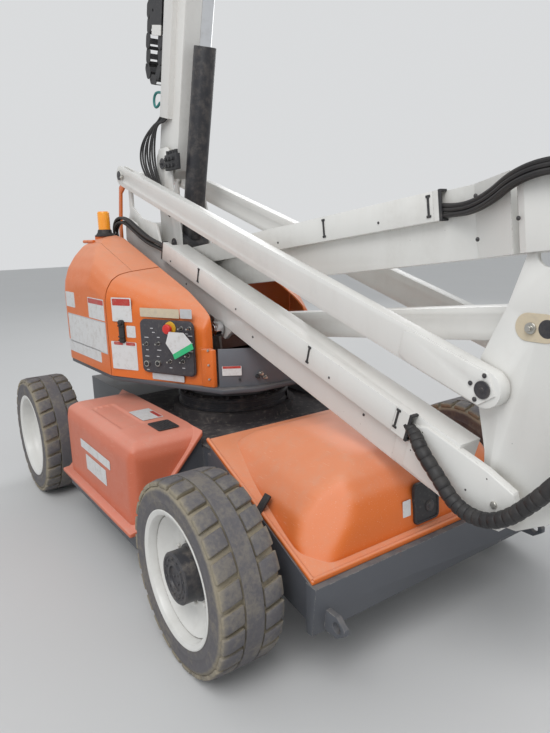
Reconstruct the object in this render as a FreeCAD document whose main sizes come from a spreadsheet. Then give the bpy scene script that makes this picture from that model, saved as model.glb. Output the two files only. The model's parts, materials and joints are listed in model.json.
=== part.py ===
import FreeCAD, Part
import math
import os
import Sketcher
from FreeCAD import Base

# Articulating boom lift: wheeled chassis, turntable, folding tower, telescopic main boom, jib, platform.
# Origin: on the ground under the turning centre. +X points to the charger end, +Y left, +Z up.
doc = FreeCAD.newDocument("BoomLift")
sheet = doc.addObject("Spreadsheet::Sheet", "sizes")

# Driving sizes, in millimetres and degrees.
SIZES = [
    ("wheelbase", 2000), ("track_width", 1510), ("tyre_radius", 354), ("tyre_width", 240),
    ("tread_lugs", 18), ("tread_rib", 14), ("groove_width", 38), ("groove_lean", 42), ("groove_depth", 20),
    ("shoulder", 18), ("rim_radius", 236), ("rim_wall", 13), ("rim_disc", 16), ("front_dish", 20), ("rear_dish", -14),
    ("hub_radius", 92), ("spindle_radius", 34), ("bearing_gap", 0.05), ("running_gap", 0.3),
    ("beam_half_width", 370), ("beam_floor", 255), ("beam_top", 600), ("beam_front", 1380),
    ("beam_rear", 1290), ("deck_top", 650), ("bay_half_width", 600), ("bay_rear", 560),
    ("bay_floor", 300), ("bay_low", 440), ("bay_high", 650), ("bay_narrow", 478), ("nose_reach", 1440),
    ("pod_reach", 470), ("pod_face", 800), ("pod_inner", 455), ("pod_skirt", 205), ("pod_low", 275),
    ("pod_high", 655), ("pod_top", 680), ("pod_round", 50), ("pod_lip", 34), ("lip_thick", 12), ("cover_seat", 0.3),
    ("lug_reach", 62), ("lug_hole", 19), ("lug_margin", 19), ("lug_plate", 20), ("lug_side", 540),
    ("hood_crest", 745), ("hood_nose", 1410), ("hood_lip", 56), ("hood_round", 60), ("ring_radius", 290), ("ring_top", 720),
    ("slew_gap", 0.3), ("table_floor", 800), ("table_plate", 24), ("table_rear", 1180),
    ("riser_plate", 15), ("riser_inner", 150), ("riser_front", 450), ("riser_rear", 960),
    ("steer_arm", 150), ("kingpin_inset", 165), ("kingpin_radius", 20), ("axle_half_height", 60), ("axle_half_width", 60),
    ("low_hub_x", -810), ("low_hub_z", 1556), ("link_rise", 339), ("link_lead", -50),
    ("low_arm_run", 2625), ("low_arm_drop", -810), ("hub_tube", 60), ("hub_wall", 15),
    ("arm_near", 200), ("arm_far", 105), ("arm_up", 98), ("arm_down", 112), ("arm_plate", 15),
    ("side_link_inner", 172), ("side_link_width", 46), ("side_link_half", 56), ("pin_radius", 25),
    ("tray_depth", 30), ("tray_height", 92), ("up_run", 2435), ("up_rise", 269),
    ("up_pin_x", 2020), ("up_pin_z", 1600), ("up_link_lead", -90), ("up_link_drop", -325),
    ("up_half_width", 62), ("up_half_depth", 112), ("up_link_half", 52), ("up_plate", 14),
    ("boom_pin_x", -490), ("boom_pin_z", 1930), ("boom_angle", 75), ("upright_inner", 88),
    ("upright_plate", 12), ("lift_pin_x", -400), ("lift_pin_z", 1490),
    ("base_length", 3430), ("base_half_width", 74), ("base_half_depth", 112), ("base_wall", 8),
    ("fly_gap", 6), ("pad_gap", 0.3), ("fly_reach", 340), ("fly_tail", 250), ("fly_wall", 8),
    ("lift_eye_along", 1250), ("lift_eye_below", 220), ("lift_bore", 58), ("lift_rod", 30),
    ("lift_barrel", 1010), ("tower_bore", 44), ("tower_rod", 24), ("tower_barrel", 860),
    ("tower_pin_x", -750), ("tower_pin_z", 1020), ("tower_y", -228), ("tower_eye_along", 1150),
    ("tower_eye_below", 135), ("tower_head", 160), ("lift_head", 120), ("cylinder_foot", 80),
    ("nose_lead", 110), ("track_start", 700), ("track_stop", 530), ("track_return", 930), ("jib_length", 1240),
    ("jib_half_width", 34), ("link_inner", 42), ("link_thick", 12), ("jib_half_depth", 62), ("jib_cheek", 66), ("bracket_reach", 260),
    ("stage_length", 1520), ("stage_depth", 760), ("stage_floor_drop", 330), ("rail_height", 1100),
    ("post_radius", 17), ("rail_radius", 15), ("gate_tube", 13), ("gate_gap", 6), ("toe_height", 150),
    ("floor_thick", 30), ("hinge_y", 431.5), ("hinge_z", 1512), ("hinge_radius", 10), ("hood_seam", 1.5),
    ("hood_inner", 278), ("hood_split", -255), ("hood_wall", 12), ("hood_front", 345), ("hood_step", 48),
    ("hood_step_top", 1007), ("hood_rear", 1262), ("shell_side", 606), ("shell_crest", 1545), ("shell_top", 1289),
    ("shell_slope", 0.327), ("beacon_x", -900), ("beacon_y", -340), ("beacon_z", 1546.3), ("arm_half", 22),
    ("doubler", 5), ("link_fork", 12),
]


class Size:
    """A number together with the sheet formula that gives it."""

    def __init__(self, number, formula):
        self.number = float(number)
        self.formula = formula

    def _with(self, other, number, pattern):
        return Size(number, pattern % (self.formula, as_size(other).formula))

    def __add__(self, other):
        return self._with(other, self.number + as_size(other).number, "(%s + %s)")

    def __radd__(self, other):
        return as_size(other) + self

    def __sub__(self, other):
        return self._with(other, self.number - as_size(other).number, "(%s - %s)")

    def __rsub__(self, other):
        return as_size(other) - self

    def __mul__(self, other):
        return self._with(other, self.number * as_size(other).number, "(%s * %s)")

    def __rmul__(self, other):
        return as_size(other) * self

    def __truediv__(self, other):
        return self._with(other, self.number / as_size(other).number, "(%s / %s)")

    def __rtruediv__(self, other):
        return as_size(other) / self

    def __neg__(self):
        return as_size(0) - self


def as_size(value):
    return value if isinstance(value, Size) else Size(value, "%.6g" % value)


def number_of(value):
    return as_size(value).number


def root(value):
    return Size(math.sqrt(value.number), "sqrt(%s)" % value.formula)


def cosine(angle):
    return Size(math.cos(math.radians(angle.number)), "cos(%s)" % angle.formula)


def sine(angle):
    return Size(math.sin(math.radians(angle.number)), "sin(%s)" % angle.formula)


def tilt_of(rise, run):
    return Size(math.degrees(math.atan2(rise.number, run.number)),
                "atan2(%s; %s)" % (rise.formula, run.formula))


for row, (word, number) in enumerate(SIZES, start=1):
    sheet.set("A%d" % row, word)
    sheet.set("B%d" % row, str(number))
    sheet.setAlias("B%d" % row, word)
doc.recompute()


class Sheet:
    """Gives each driving size by its word."""

    def __getattr__(self, word):
        for name, number in SIZES:
            if name == word:
                return Size(number, "sizes.%s" % word)
        raise AttributeError(word)


s = Sheet()
PARTS = []


def bind(thing, field, value):
    value = as_size(value)
    thing.setExpression(field, value.formula)


def put(thing, x=0, y=0, z=0, axis=(0, 0, 1), angle=0):
    """Places an object; each coordinate stays tied to its formula."""
    thing.Placement = Base.Placement(
        Base.Vector(as_size(x).number, as_size(y).number, as_size(z).number),
        Base.Rotation(Base.Vector(*axis), as_size(angle).number))
    for field, value in (("x", x), ("y", y), ("z", z)):
        if isinstance(value, Size):
            thing.setExpression("Placement.Base.%s" % field, value.formula)
    if isinstance(angle, Size):
        thing.setExpression("Placement.Rotation.Angle", angle.formula)
    return thing


def box(x0, x1, y0, y1, z0, z1):
    """A block between two corners."""
    thing = doc.addObject("Part::Box", "block")
    bind(thing, "Length", as_size(x1) - x0)
    bind(thing, "Width", as_size(y1) - y0)
    bind(thing, "Height", as_size(z1) - z0)
    return put(thing, x0, y0, z0)


def rod(radius, length, x, y, z, along="y"):
    """A round bar from a point, along one axis."""
    thing = doc.addObject("Part::Cylinder", "bar")
    bind(thing, "Radius", radius)
    bind(thing, "Height", length)
    axis, angle = {"x": ((0, 1, 0), 90), "y": ((1, 0, 0), -90), "z": ((0, 0, 1), 0)}[along]
    return put(thing, x, y, z, axis, angle)


def cross_rod(radius, x, z, y0, y1):
    """A round bar across the machine between two widths."""
    return rod(radius, as_size(y1) - y0, x, y0, z, "y")


def sketch(points):
    """A closed outline whose corners are tied to their formulas."""
    thing = doc.addObject("Sketcher::SketchObject", "outline")
    corners = [Base.Vector(as_size(u).number, as_size(v).number, 0) for u, v in points]
    lines = [Part.LineSegment(a, b) for a, b in zip(corners, corners[1:] + corners[:1])]
    thing.addGeometry(lines, False)
    count = len(lines)
    for index in range(count):
        thing.addConstraint(Sketcher.Constraint("Coincident", index, 2, (index + 1) % count, 1))
    for index, point in enumerate(points):
        for kind, value in zip(("DistanceX", "DistanceY"), point):
            value = as_size(value)
            place = thing.addConstraint(
                Sketcher.Constraint(kind, -1, 1, index, 1, value.number))
            thing.setExpression("Constraints[%d]" % place, value.formula)
    return thing


def prism(outline, low, high, normal):
    thing = doc.addObject("Part::Extrusion", "prism")
    thing.Base = outline
    thing.DirMode = "Custom"
    thing.Dir = Base.Vector(*(as_size(value).number for value in normal))
    for field, value in zip(("Dir.x", "Dir.y", "Dir.z"), normal):
        if isinstance(value, Size):
            bind(thing, field, value)
    thing.Solid = True
    bind(thing, "LengthFwd", high)
    bind(thing, "LengthRev", -as_size(low))
    return thing


def side_plate(points, y0, y1):
    """An outline in X and Z, thick between two widths."""
    outline = sketch(points)
    outline.Placement = Base.Placement(Base.Vector(), Base.Rotation(Base.Vector(1, 0, 0), 90))
    return prism(outline, y0, y1, (0, 1, 0))


def flat_plate(points, z0, z1):
    """An outline in X and Y, thick between two heights."""
    return prism(sketch(points), z0, z1, (0, 0, 1))


def end_plate(points, x0, x1):
    """An outline in Y and Z, thick between two lengths."""
    outline = sketch(points)
    outline.Placement = Base.Placement(
        Base.Vector(), Base.Rotation(Base.Vector(1, 1, 1), 120))
    return prism(outline, x0, x1, (1, 0, 0))


def swept(points, plane, start, direction):
    """An outline in X and Z or in Y and Z, stretched both ways from one point along a slanting line."""
    outline = sketch(points)
    turn = {"xz": Base.Rotation(Base.Vector(1, 0, 0), 90), "yz": Base.Rotation(Base.Vector(1, 1, 1), 120)}[plane]
    outline.Placement = Base.Placement(Base.Vector(*start), turn)
    return prism(outline, -2000, 2000, direction)


def fuse(*things):
    if len(things) == 1:
        return things[0]
    thing = doc.addObject("Part::MultiFuse", "joined")
    thing.Shapes = list(things)
    thing.Refine = True
    return thing


def cut(base, *tools):
    thing = doc.addObject("Part::Cut", "trimmed")
    thing.Base = base
    thing.Tool = fuse(*tools)
    thing.Refine = True
    return thing


def common(first, *others):
    """What all the things share."""
    for other in others:
        thing = doc.addObject("Part::Common", "shared")
        thing.Base = first
        thing.Tool = other
        first = thing
    return first


def bevel_edges(base, size, wanted):
    """Bevels the edges that the test picks by their middle and direction."""
    doc.recompute()
    picked = []
    for index, edge in enumerate(base.Shape.Edges, start=1):
        ends = [vertex.Point for vertex in edge.Vertexes]
        if wanted(edge.CenterOfMass, ends[-1] - ends[0]):
            picked.append((index, as_size(size).number, as_size(size).number))
    if not picked:
        raise ValueError("no edge found to bevel on " + base.Label)
    thing = doc.addObject("Part::Chamfer", "bevelled")
    thing.Base = base
    thing.Edges = picked
    return thing


def part(label, thing):
    """Records a finished sub-part under its own name."""
    thing.Label = label
    PARTS.append((label, thing))
    return thing


# Wheels

half_base = s.wheelbase / 2
half_track = s.track_width / 2


def polygon_drum(radius, length, along_y, sides):
    """A many-sided drum about the wheel's axis, with a flat looking down; the radius reaches its flats."""
    thing = doc.addObject("Part::Prism", "drum")
    thing.Polygon = sides
    bind(thing, "Circumradius", radius / cosine(as_size(180.0 / sides)))
    bind(thing, "Height", length)
    spin = doc.addObject("Part::Compound", "turned")
    spin.Links = [put(thing, 0, 0, along_y, (0, 0, 1), 180.0 / sides)]
    return put(spin, 0, 0, 0, (1, 0, 0), -90)


def tread_groove(outline, side, turn):
    """One slanting groove from the middle rib out over the shoulder."""
    floor = s.tyre_radius - s.groove_depth
    return put(prism(outline, floor, s.tyre_radius + 20, (0, 0, 1)), 0, 0, 0, (0, 1, 0), turn)


def tyre_form():
    """Solid tyre about Y: a many-sided drum with bevelled shoulders and slanting grooves."""
    half, sides = s.tyre_width / 2, 2 * 18
    drum = polygon_drum(s.tyre_radius, s.tyre_width, -half, sides)
    drum = bevel_edges(drum, s.shoulder, lambda middle, run: abs(middle.y) > half.number - 1)
    pitch = 360 / s.tread_lugs
    grooves = []
    for side in (-1, 1):
        wide, lean = s.groove_width / 2, s.groove_lean
        outline = sketch([(-lean - wide, side * s.tread_rib), (-lean + wide, side * s.tread_rib),
                          (lean + wide, side * (half + 10)), (lean - wide, side * (half + 10))])
        grooves += [tread_groove(outline, side, pitch * (index + (0.5 if side > 0 else 0)))
                    for index in range(18)]
    bore = polygon_drum(s.rim_radius, s.tyre_width + 2, -half - 1, 48)
    return cut(drum, bore, *grooves)


def rim_form(dish, hub, proud):
    """Deep dished rim about Y, its outer side towards +Y, with its hub on a bore for the axle's stub."""
    half = s.tyre_width / 2
    inner = s.rim_radius - s.rim_wall
    stub = s.spindle_radius + s.bearing_gap
    hoop = polygon_drum(s.rim_radius, s.tyre_width, -half, 48)
    outer_well = polygon_drum(inner, half - dish - s.rim_disc + 1, dish + s.rim_disc, 48)
    inner_well = polygon_drum(inner, half + dish + 1, -half - 1, 48)
    boss = cross_rod(hub, 0, 0, dish + s.rim_disc - 1, dish + s.rim_disc + proud - 24)
    cap = cross_rod(hub - 26, 0, 0, dish + s.rim_disc, dish + s.rim_disc + proud)
    socket = cross_rod(stub, 0, 0, dish - 1, dish + 10)
    return cut(fuse(cut(hoop, outer_well, inner_well), boss, cap), socket)


def wheel_copy(form, end, side):
    thing = doc.addObject("Part::Compound", "copy")
    thing.Links = [form]
    return put(thing, half_base * end, half_track * side, s.tyre_radius, (0, 0, 1), 0 if side > 0 else 180)


WHEELS = [("front_right", 1, -1), ("front_left", 1, 1), ("rear_right", -1, -1), ("rear_left", -1, 1)]
front_dish, rear_dish = s.front_dish, s.rear_dish
tyre_shape = tyre_form()
rim_shapes = {1: rim_form(front_dish, s.hub_radius, 78), -1: rim_form(rear_dish, s.hub_radius - 30, 44)}
for corner, end, side in WHEELS:
    part("tyre_" + corner, wheel_copy(tyre_shape, end, side))
    part("rim_" + corner, wheel_copy(rim_shapes[end], end, side))

# Chassis


def bay_plan(inset):
    """The charger bay's outline from above, narrow at the deck and wide at the nose."""
    return [(s.bay_rear, -s.bay_narrow + inset), (s.nose_reach, -s.bay_half_width + inset),
            (s.nose_reach, s.bay_half_width - inset), (s.bay_rear, s.bay_narrow - inset)]


def chassis_frame():
    over_axle = s.tyre_radius + s.axle_half_height + 10
    beam = side_plate([(-s.beam_rear, over_axle), (-s.pod_reach - 180, over_axle), (-s.pod_reach - 100, s.beam_floor),
                       (s.beam_front, s.beam_floor), (s.beam_front, s.bay_floor + 60), (s.bay_rear, s.bay_floor + 60),
                       (s.bay_rear, s.beam_top), (-s.beam_rear, s.beam_top)], -s.beam_half_width, s.beam_half_width)
    neck = box(-s.pod_reach - 60, s.bay_rear, -s.pod_inner + 6, s.pod_inner - 6, s.beam_floor, s.beam_top)
    low, high = s.bay_low - s.cover_seat, s.bay_high - s.cover_seat
    deck_end = s.bay_rear + 34
    under_deck = s.beam_top - s.cover_seat
    bay = common(side_plate([(s.bay_rear, s.bay_floor), (s.nose_reach, s.bay_floor), (s.nose_reach, low),
                             (deck_end + 1, high - 34 * (high - low) / (s.nose_reach - s.bay_rear)),
                             (deck_end + 1, under_deck), (s.bay_rear, under_deck)],
                            -s.bay_half_width, s.bay_half_width),
                 flat_plate(bay_plan(0), s.bay_floor - 1, s.bay_high))
    nose = side_plate([(s.nose_reach - 30, s.bay_floor - 40), (s.nose_reach, s.bay_floor - 40),
                       (s.nose_reach + 24, low), (s.nose_reach - 30, low)], -s.bay_half_width, s.bay_half_width)
    skirts = [end_plate([(side * (s.beam_half_width - 1), s.pod_skirt), (side * s.pod_face, s.pod_skirt),
                         (side * s.pod_face, s.pod_low - s.cover_seat), (side * s.pod_inner, s.pod_high - s.cover_seat),
                         (side * s.pod_inner, s.beam_top - 10), (side * (s.beam_half_width - 1), s.beam_top - 10)],
                        -s.pod_reach + 6, s.pod_reach - 6) for side in (-1, 1)]
    seat_half = s.hub_radius + 10
    axle_seat = box(half_base - seat_half, half_base + seat_half, -s.bay_half_width, s.bay_half_width, s.bay_floor, s.bay_low)
    eye_x, eye_z = s.nose_reach + s.lug_reach, s.bay_floor + 5
    corner = s.lug_hole + s.lug_margin
    lugs = [side_plate([(s.nose_reach - 20, eye_z + corner), (s.nose_reach - 20, eye_z - corner),
                        (eye_x, eye_z - corner), (eye_x + corner, eye_z - 10), (eye_x + corner, eye_z + 10),
                        (eye_x, eye_z + corner)], mid - s.lug_plate / 2, mid + s.lug_plate / 2)
            for mid in (-s.lug_side, s.lug_side)]
    eyes = cross_rod(s.lug_hole, eye_x, eye_z, -s.lug_side - s.lug_plate, s.lug_side + s.lug_plate)
    return cut(fuse(beam, neck, bay, nose, axle_seat, *skirts, *lugs), eyes)


def deck_plate():
    plate = box(-s.pod_reach - 80, s.bay_rear + 30, -s.pod_inner + 3, s.pod_inner - 3, s.beam_top, s.beam_top + 8)
    seat = rod(s.ring_radius + 40, s.deck_top - s.beam_top - 8, 0, 0, s.beam_top + 8, "z")
    ring = rod(s.ring_radius, s.ring_top - s.deck_top, 0, 0, s.deck_top, "z")
    return fuse(plate, seat, ring)


part("chassis_frame", chassis_frame())
part("deck_plate", deck_plate())

def drive_axle():
    reach = half_track + front_dish - s.running_gap
    ends = [rod(s.hub_radius - 4, reach - s.bay_half_width, half_base, low, s.tyre_radius, "y")
            for low in (-reach, s.bay_half_width)]
    stubs = [rod(s.spindle_radius, 10, half_base, low, s.tyre_radius, "y")
             for low in (-reach - 9, reach - 1)]
    return fuse(*ends, *stubs)


def steer_axle():
    reach = half_track - s.kingpin_inset
    beam = box(-half_base - s.axle_half_width, -half_base + s.axle_half_width, -reach + 75, reach - 75,
               s.tyre_radius - s.axle_half_height, s.tyre_radius + s.axle_half_height)
    forks = []
    for side in (-1, 1):
        for low, high in ((s.axle_half_height - 22, s.axle_half_height),
                          (-s.axle_half_height, -s.axle_half_height + 22)):
            y0, y1 = (-reach - 36, -reach + 80) if side < 0 else (reach - 80, reach + 36)
            forks.append(box(-half_base - 40, -half_base + 40, y0, y1, s.tyre_radius + low, s.tyre_radius + high))
    top = s.tyre_radius + s.axle_half_height
    pivot = box(-half_base - 50, -half_base + 50, -120, 120, top - 1, top + 10)
    pins = [rod(s.kingpin_radius + s.bearing_gap, 4 * s.axle_half_height, -half_base, side * reach,
                s.tyre_radius - 2 * s.axle_half_height, "z") for side in (-1, 1)]
    return cut(fuse(beam, pivot, *forks), *pins)


part("drive_axle", drive_axle())
part("steer_axle", steer_axle())

king_y = half_track - s.kingpin_inset


def steer_knuckle(side):
    boss = rod(36, 2 * s.axle_half_height - 46, -half_base, side * king_y, s.tyre_radius - s.axle_half_height + 23, "z")
    pin = rod(s.kingpin_radius, 2 * s.axle_half_height, -half_base, side * king_y,
              s.tyre_radius - s.axle_half_height, "z")
    reach = half_track + rear_dish - s.running_gap
    stud = rod(12, 40, -half_base + s.steer_arm, side * king_y, s.tyre_radius - 55, "z")
    if side < 0:
        spindle = rod(s.spindle_radius, reach + 9 - king_y, -half_base, -reach - 9, s.tyre_radius, "y")
        arm = box(-half_base, -half_base + s.steer_arm + 22, -king_y - 18, -king_y + 18, s.tyre_radius - 16, s.tyre_radius + 16)
    else:
        spindle = rod(s.spindle_radius, reach + 9 - king_y, -half_base, king_y, s.tyre_radius, "y")
        arm = box(-half_base, -half_base + s.steer_arm + 22, king_y - 18, king_y + 18, s.tyre_radius - 16, s.tyre_radius + 16)
    return fuse(boss, pin, spindle, arm, stud)


part("steer_knuckle_right", steer_knuckle(-1))
part("steer_knuckle_left", steer_knuckle(1))


def tie_rod():
    """Bar below the steering arms, with an eye on each arm's stud."""
    place = -half_base + s.steer_arm
    level = s.tyre_radius - 36
    bar = rod(13, 2 * king_y, place, -king_y, level, "y")
    eyes = [rod(24, 34, place, side * king_y, level - 17, "z") for side in (-1, 1)]
    bores = [rod(12 + s.bearing_gap, 40, place, side * king_y, level - 20, "z") for side in (-1, 1)]
    return cut(fuse(bar, *eyes), *bores)


part("tie_rod", tie_rod())


def battery_cover(side):
    """Moulded cover over the batteries: its lip runs along the outer side and slants up both ends."""
    def seat(y):
        slope = (s.pod_high - s.pod_low) / (s.pod_face - s.pod_inner)
        return s.pod_high - (y - s.pod_inner) * slope
    crown = s.pod_top - 45
    section = [(side * s.pod_inner, seat(s.pod_inner)), (side * s.pod_face, seat(s.pod_face)),
               (side * (s.pod_face - 8), crown), (side * (s.pod_face - 60), s.pod_top), (side * s.pod_inner, s.pod_top)]
    half = s.pod_reach
    face = [(-half, s.pod_skirt), (half, s.pod_skirt), (half - 14, crown), (half - 60, s.pod_top),
            (-half + 60, s.pod_top), (-half + 14, crown)]
    body = common(end_plate(section, -half, half), side_plate(face, -s.pod_face - 5, s.pod_face + 5))
    outer, inner = s.pod_face + s.pod_lip, s.pod_inner
    lip = end_plate([(side * inner, seat(inner)), (side * s.pod_face, seat(s.pod_face)), (side * outer, seat(s.pod_face)),
                     (side * outer, seat(s.pod_face) + s.lip_thick), (side * (s.pod_face - 6), seat(s.pod_face) + s.lip_thick),
                     (side * inner, seat(inner) + s.lip_thick + 8)], -half - 14, half + 14)
    return fuse(body, lip)


def front_hood():
    """Moulded hood over the charger: a crowned form on a lip that slopes down to the nose."""
    def seat(x):
        return s.bay_high - (x - s.bay_rear) * (s.bay_high - s.bay_low) / (s.nose_reach - s.bay_rear)
    rear, nose, crest = s.bay_rear + 34, s.hood_nose, s.hood_crest
    profile = [(rear, seat(rear)), (nose, seat(nose)), (nose - 14, crest - 190), (nose - 50, crest - 95),
               (nose - 110, crest - 32), (nose - 210, crest), (rear + 330, crest), (rear + 120, crest - 22), (rear + 20, crest - 60)]
    half = s.bay_half_width - s.hood_lip
    section = [(-half - 20, s.bay_low - 60), (half + 20, s.bay_low - 60), (half - 8, crest - 170), (half - 45, crest - 85),
               (half - 110, crest - 28), (half - 220, crest + 4), (-half + 220, crest + 4), (-half + 110, crest - 28),
               (-half + 45, crest - 85), (-half + 8, crest - 170)]
    plan = [(rear, -s.bay_narrow + 50), (nose - 90, -half), (nose - 25, -half + 40), (nose, -half + 120),
            (nose, half - 120), (nose - 25, half - 40), (nose - 90, half), (rear, s.bay_narrow - 50)]
    body = common(common(side_plate(profile, -half - 1, half + 1), end_plate(section, rear - 1, nose + 1)),
                  flat_plate(plan, s.bay_floor, crest + 10))
    lip = common(side_plate([(s.bay_rear, s.bay_high), (s.nose_reach, s.bay_low), (s.nose_reach, s.bay_low + s.lip_thick),
                             (s.bay_rear, s.bay_high + s.lip_thick)], -s.bay_half_width, s.bay_half_width),
                 flat_plate(bay_plan(0), s.bay_floor, crest))
    return fuse(body, lip)


part("battery_cover_right", battery_cover(-1))
part("battery_cover_left", battery_cover(1))
part("front_hood", front_hood())

# Turntable


def plan_edge(side):
    """Right or left half of the turntable's outline, seen from above."""
    return [(472, side * 150), (400, side * 300), (-70, side * 505), (-250, side * 585),
            (-900, side * 600), (-s.table_rear + 60, side * 520), (-s.table_rear, side * 300)]


def turntable_base():
    outline = plan_edge(-1) + list(reversed(plan_edge(1)))
    plate = flat_plate(outline, s.table_floor, s.table_floor + s.table_plate)
    neck = rod(s.ring_radius - 45, s.table_floor - s.ring_top - s.slew_gap + 1, 0, 0, s.ring_top + s.slew_gap, "z")
    return fuse(plate, neck)


part("turntable_base", turntable_base())

link_rear_x = s.low_hub_x + s.link_lead
link_rear_z = s.low_hub_z + s.link_rise
table_top = s.table_floor + s.table_plate


def risers():
    """Two tall plates that carry the lower boom's hub and the side links' pin."""
    head = s.low_hub_z + s.hub_tube + 24
    shape = [(-s.riser_rear, table_top), (-s.riser_front + 60, table_top), (-s.riser_front, s.low_hub_z - 120),
             (-s.riser_front - 60, head - 40), (link_rear_x + 140, head), (link_rear_x + s.arm_half, head + 70),
             (link_rear_x + s.arm_half, link_rear_z), (link_rear_x - s.arm_half, link_rear_z),
             (link_rear_x - s.arm_half, head + 40), (-s.riser_rear, head - 90)]
    plates = [side_plate(shape, s.riser_inner, s.riser_inner + s.riser_plate),
              side_plate(shape, -s.riser_inner - s.riser_plate, -s.riser_inner)]
    back = box(-s.riser_rear, -s.riser_rear + 15, -s.riser_inner - 1, s.riser_inner + 1, table_top, s.low_hub_z - 160)
    side_reach = s.side_link_inner + s.side_link_width + 6
    pin = cross_rod(s.pin_radius, link_rear_x, link_rear_z, -side_reach, side_reach)
    bosses = [cross_rod(s.pin_radius + 19, link_rear_x, link_rear_z, low, low + s.riser_plate)
              for low in (-s.riser_inner - s.riser_plate, s.riser_inner)]
    ear = box(s.tower_pin_x - 60, s.tower_pin_x + 60, -s.riser_inner - s.riser_plate - 3,
              -s.riser_inner - 1, s.tower_pin_z - 60, s.tower_pin_z + 60)
    stub = cross_rod(22, s.tower_pin_x, s.tower_pin_z, s.tower_y - 50, -s.riser_inner - 2)
    hole = cross_rod(s.hub_tube + s.bearing_gap, s.low_hub_x, s.low_hub_z, -s.riser_inner - 40, s.riser_inner + 40)
    return fuse(cut(fuse(*plates), hole), *bosses, back, pin, ear, stub)


part("turntable_risers", risers())


def front_sheet():
    """Curved sheet round the front of the turntable."""
    outer = rod(455, 186, 0, 0, table_top, "z")
    inner = rod(451, 190, 0, 0, table_top - 1, "z")
    sector = box(s.ring_radius, 500, -285, 285, table_top - 2, table_top + 200)
    return common(cut(outer, inner), sector)


part("front_sheet", front_sheet())
part("counterweight", flat_plate([(-s.riser_rear - 10, -265), (-s.riser_rear - 10, 265), (-s.table_rear + 40, 265),
                                  (-s.table_rear + 10, 200), (-s.table_rear + 10, -200),
                                  (-s.table_rear + 40, -265)], table_top, table_top + 520))


def hood_solid(side, wall):
    """One side hood as a solid: upright sides, a front that slopes down and wide round shoulders."""
    inner, outer, crest = s.hood_inner + wall, s.shell_side - wall, s.shell_crest - wall
    front, rear = s.hood_front - wall, s.hood_rear - wall
    floor = table_top - 5 if number_of(wall) else table_top + s.cover_seat
    plan = [(front, side * inner), (front, side * (312 - wall)), (-70, side * (508 - wall)), (-235, side * (592 - wall)),
            (-900, side * outer), (-1160 + wall, side * (520 - wall)), (-rear, side * (330 - wall)), (-rear, side * inner)]
    step = s.hood_step_top - wall
    top = s.shell_top - wall
    profile = [(front, floor), (front, step), (front - s.hood_step, step), (front - s.hood_step - 4, 1104 - wall),
               (front - 62, 1160 - wall), (210 - wall, top - 210 * s.shell_slope), (-726, top + 726 * s.shell_slope),
               (-850, crest), (-980, crest), (-1100, crest - 48), (-1190, crest - 130), (-rear + 30, crest - 225),
               (-rear, 1220), (-rear, floor)]
    low = s.shell_side + 14 - wall
    slope = [(side * 270, floor - 600), (side * low, floor - 600), (side * low, top - 240), (side * (587 - wall), top - 128),
             (side * (578 - wall), top - 97), (side * (550 - wall), top - 54), (side * (507 - wall), top - 27),
             (side * 447, top - 15), (side * 270, top + 1)]
    sides = top + 70 * s.shell_slope
    slant = [(-side * 800, floor - 600), (side * (536 - wall), floor - 600), (side * (536 - wall), sides - 240),
             (side * (508 - wall), sides - 140), (side * (492 - wall), sides - 95), (side * (462 - wall), sides - 52),
             (side * (420 - wall), sides - 22), (side * 345, sides), (-side * 800, sides + 200)]
    crown = [(side * 200, floor - 600), (side * (outer + 14), floor - 600), (side * (outer + 14), crest - 440),
             (side * outer, crest - 320), (side * (outer - 8), crest - 255), (side * (outer - 34), crest - 180),
             (side * (outer - 78), crest - 115), (side * (outer - 136), crest - 57), (side * (outer - 206), crest - 23),
             (side * (outer - 276), crest - 4), (side * 200, crest + 8)]
    forms = [flat_plate(plan, 760, 1700), side_plate(profile, -700, 700),
             swept(slope, "yz", (0, 0, 0), (1, 0, -s.shell_slope)),
             swept(slant, "yz", (-70, 0, 0), (415, -side * 196, -415 * s.shell_slope)),
             swept(crown, "yz", (0, 0, 0), (1, 0, 0)),
             swept(crown, "yz", (-900, 0, 0), (-260, -side * 86, -40))]
    return common(*forms)


def hood_pieces(side):
    """The fixed front of one side hood and the door behind it, cut from one shell."""
    shell = cut(hood_solid(side, as_size(0)), hood_solid(side, s.hood_wall))
    seam = s.hinge_y - s.hood_seam
    inward = (side * s.hood_inner - 12 * side, side * seam)
    strip = box(-1400, s.hood_split + 4, min(inward, key=number_of), max(inward, key=number_of), 700, 1700)
    outward = (side * (s.hinge_y + s.hood_seam), side * as_size(700))
    room = box(-1400, s.hood_split - 3, min(outward, key=number_of), max(outward, key=number_of), 700, 1700)
    pivot = rod(s.hinge_radius, 200, -1000, side * s.hinge_y, s.hinge_z, "x")
    groove = rod(s.hinge_radius + 1, 206, -1003, side * s.hinge_y, s.hinge_z, "x")
    fixed = cut(common(shell, fuse(box(s.hood_split + 3, 600, -700, 700, 700, 1700), strip)), groove)
    if side < 0:
        pad_base = s.shell_crest - 25
        fixed = fuse(fixed, rod(50, s.beacon_z - s.cover_seat - pad_base, s.beacon_x, s.beacon_y, pad_base, "z"))
    return fixed, fuse(common(shell, room), pivot)


for name, side in (("right", -1), ("left", 1)):
    fixed, door = hood_pieces(side)
    part("hood_front_" + name, fixed)
    part("hood_door_" + name, door)


def control_panel():
    """Ground control panel on the hood's slanted face."""
    block = doc.addObject("Part::Box", "block")
    bind(block, "Length", 280)
    bind(block, "Width", 20)
    bind(block, "Height", 250)
    slant = tilt_of(as_size(196), as_size(415))
    return put(block, -22, -(508 - 48 * 196 / 415) - 20.3 / cosine(slant), 880, (0, 0, 1), slant)


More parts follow.
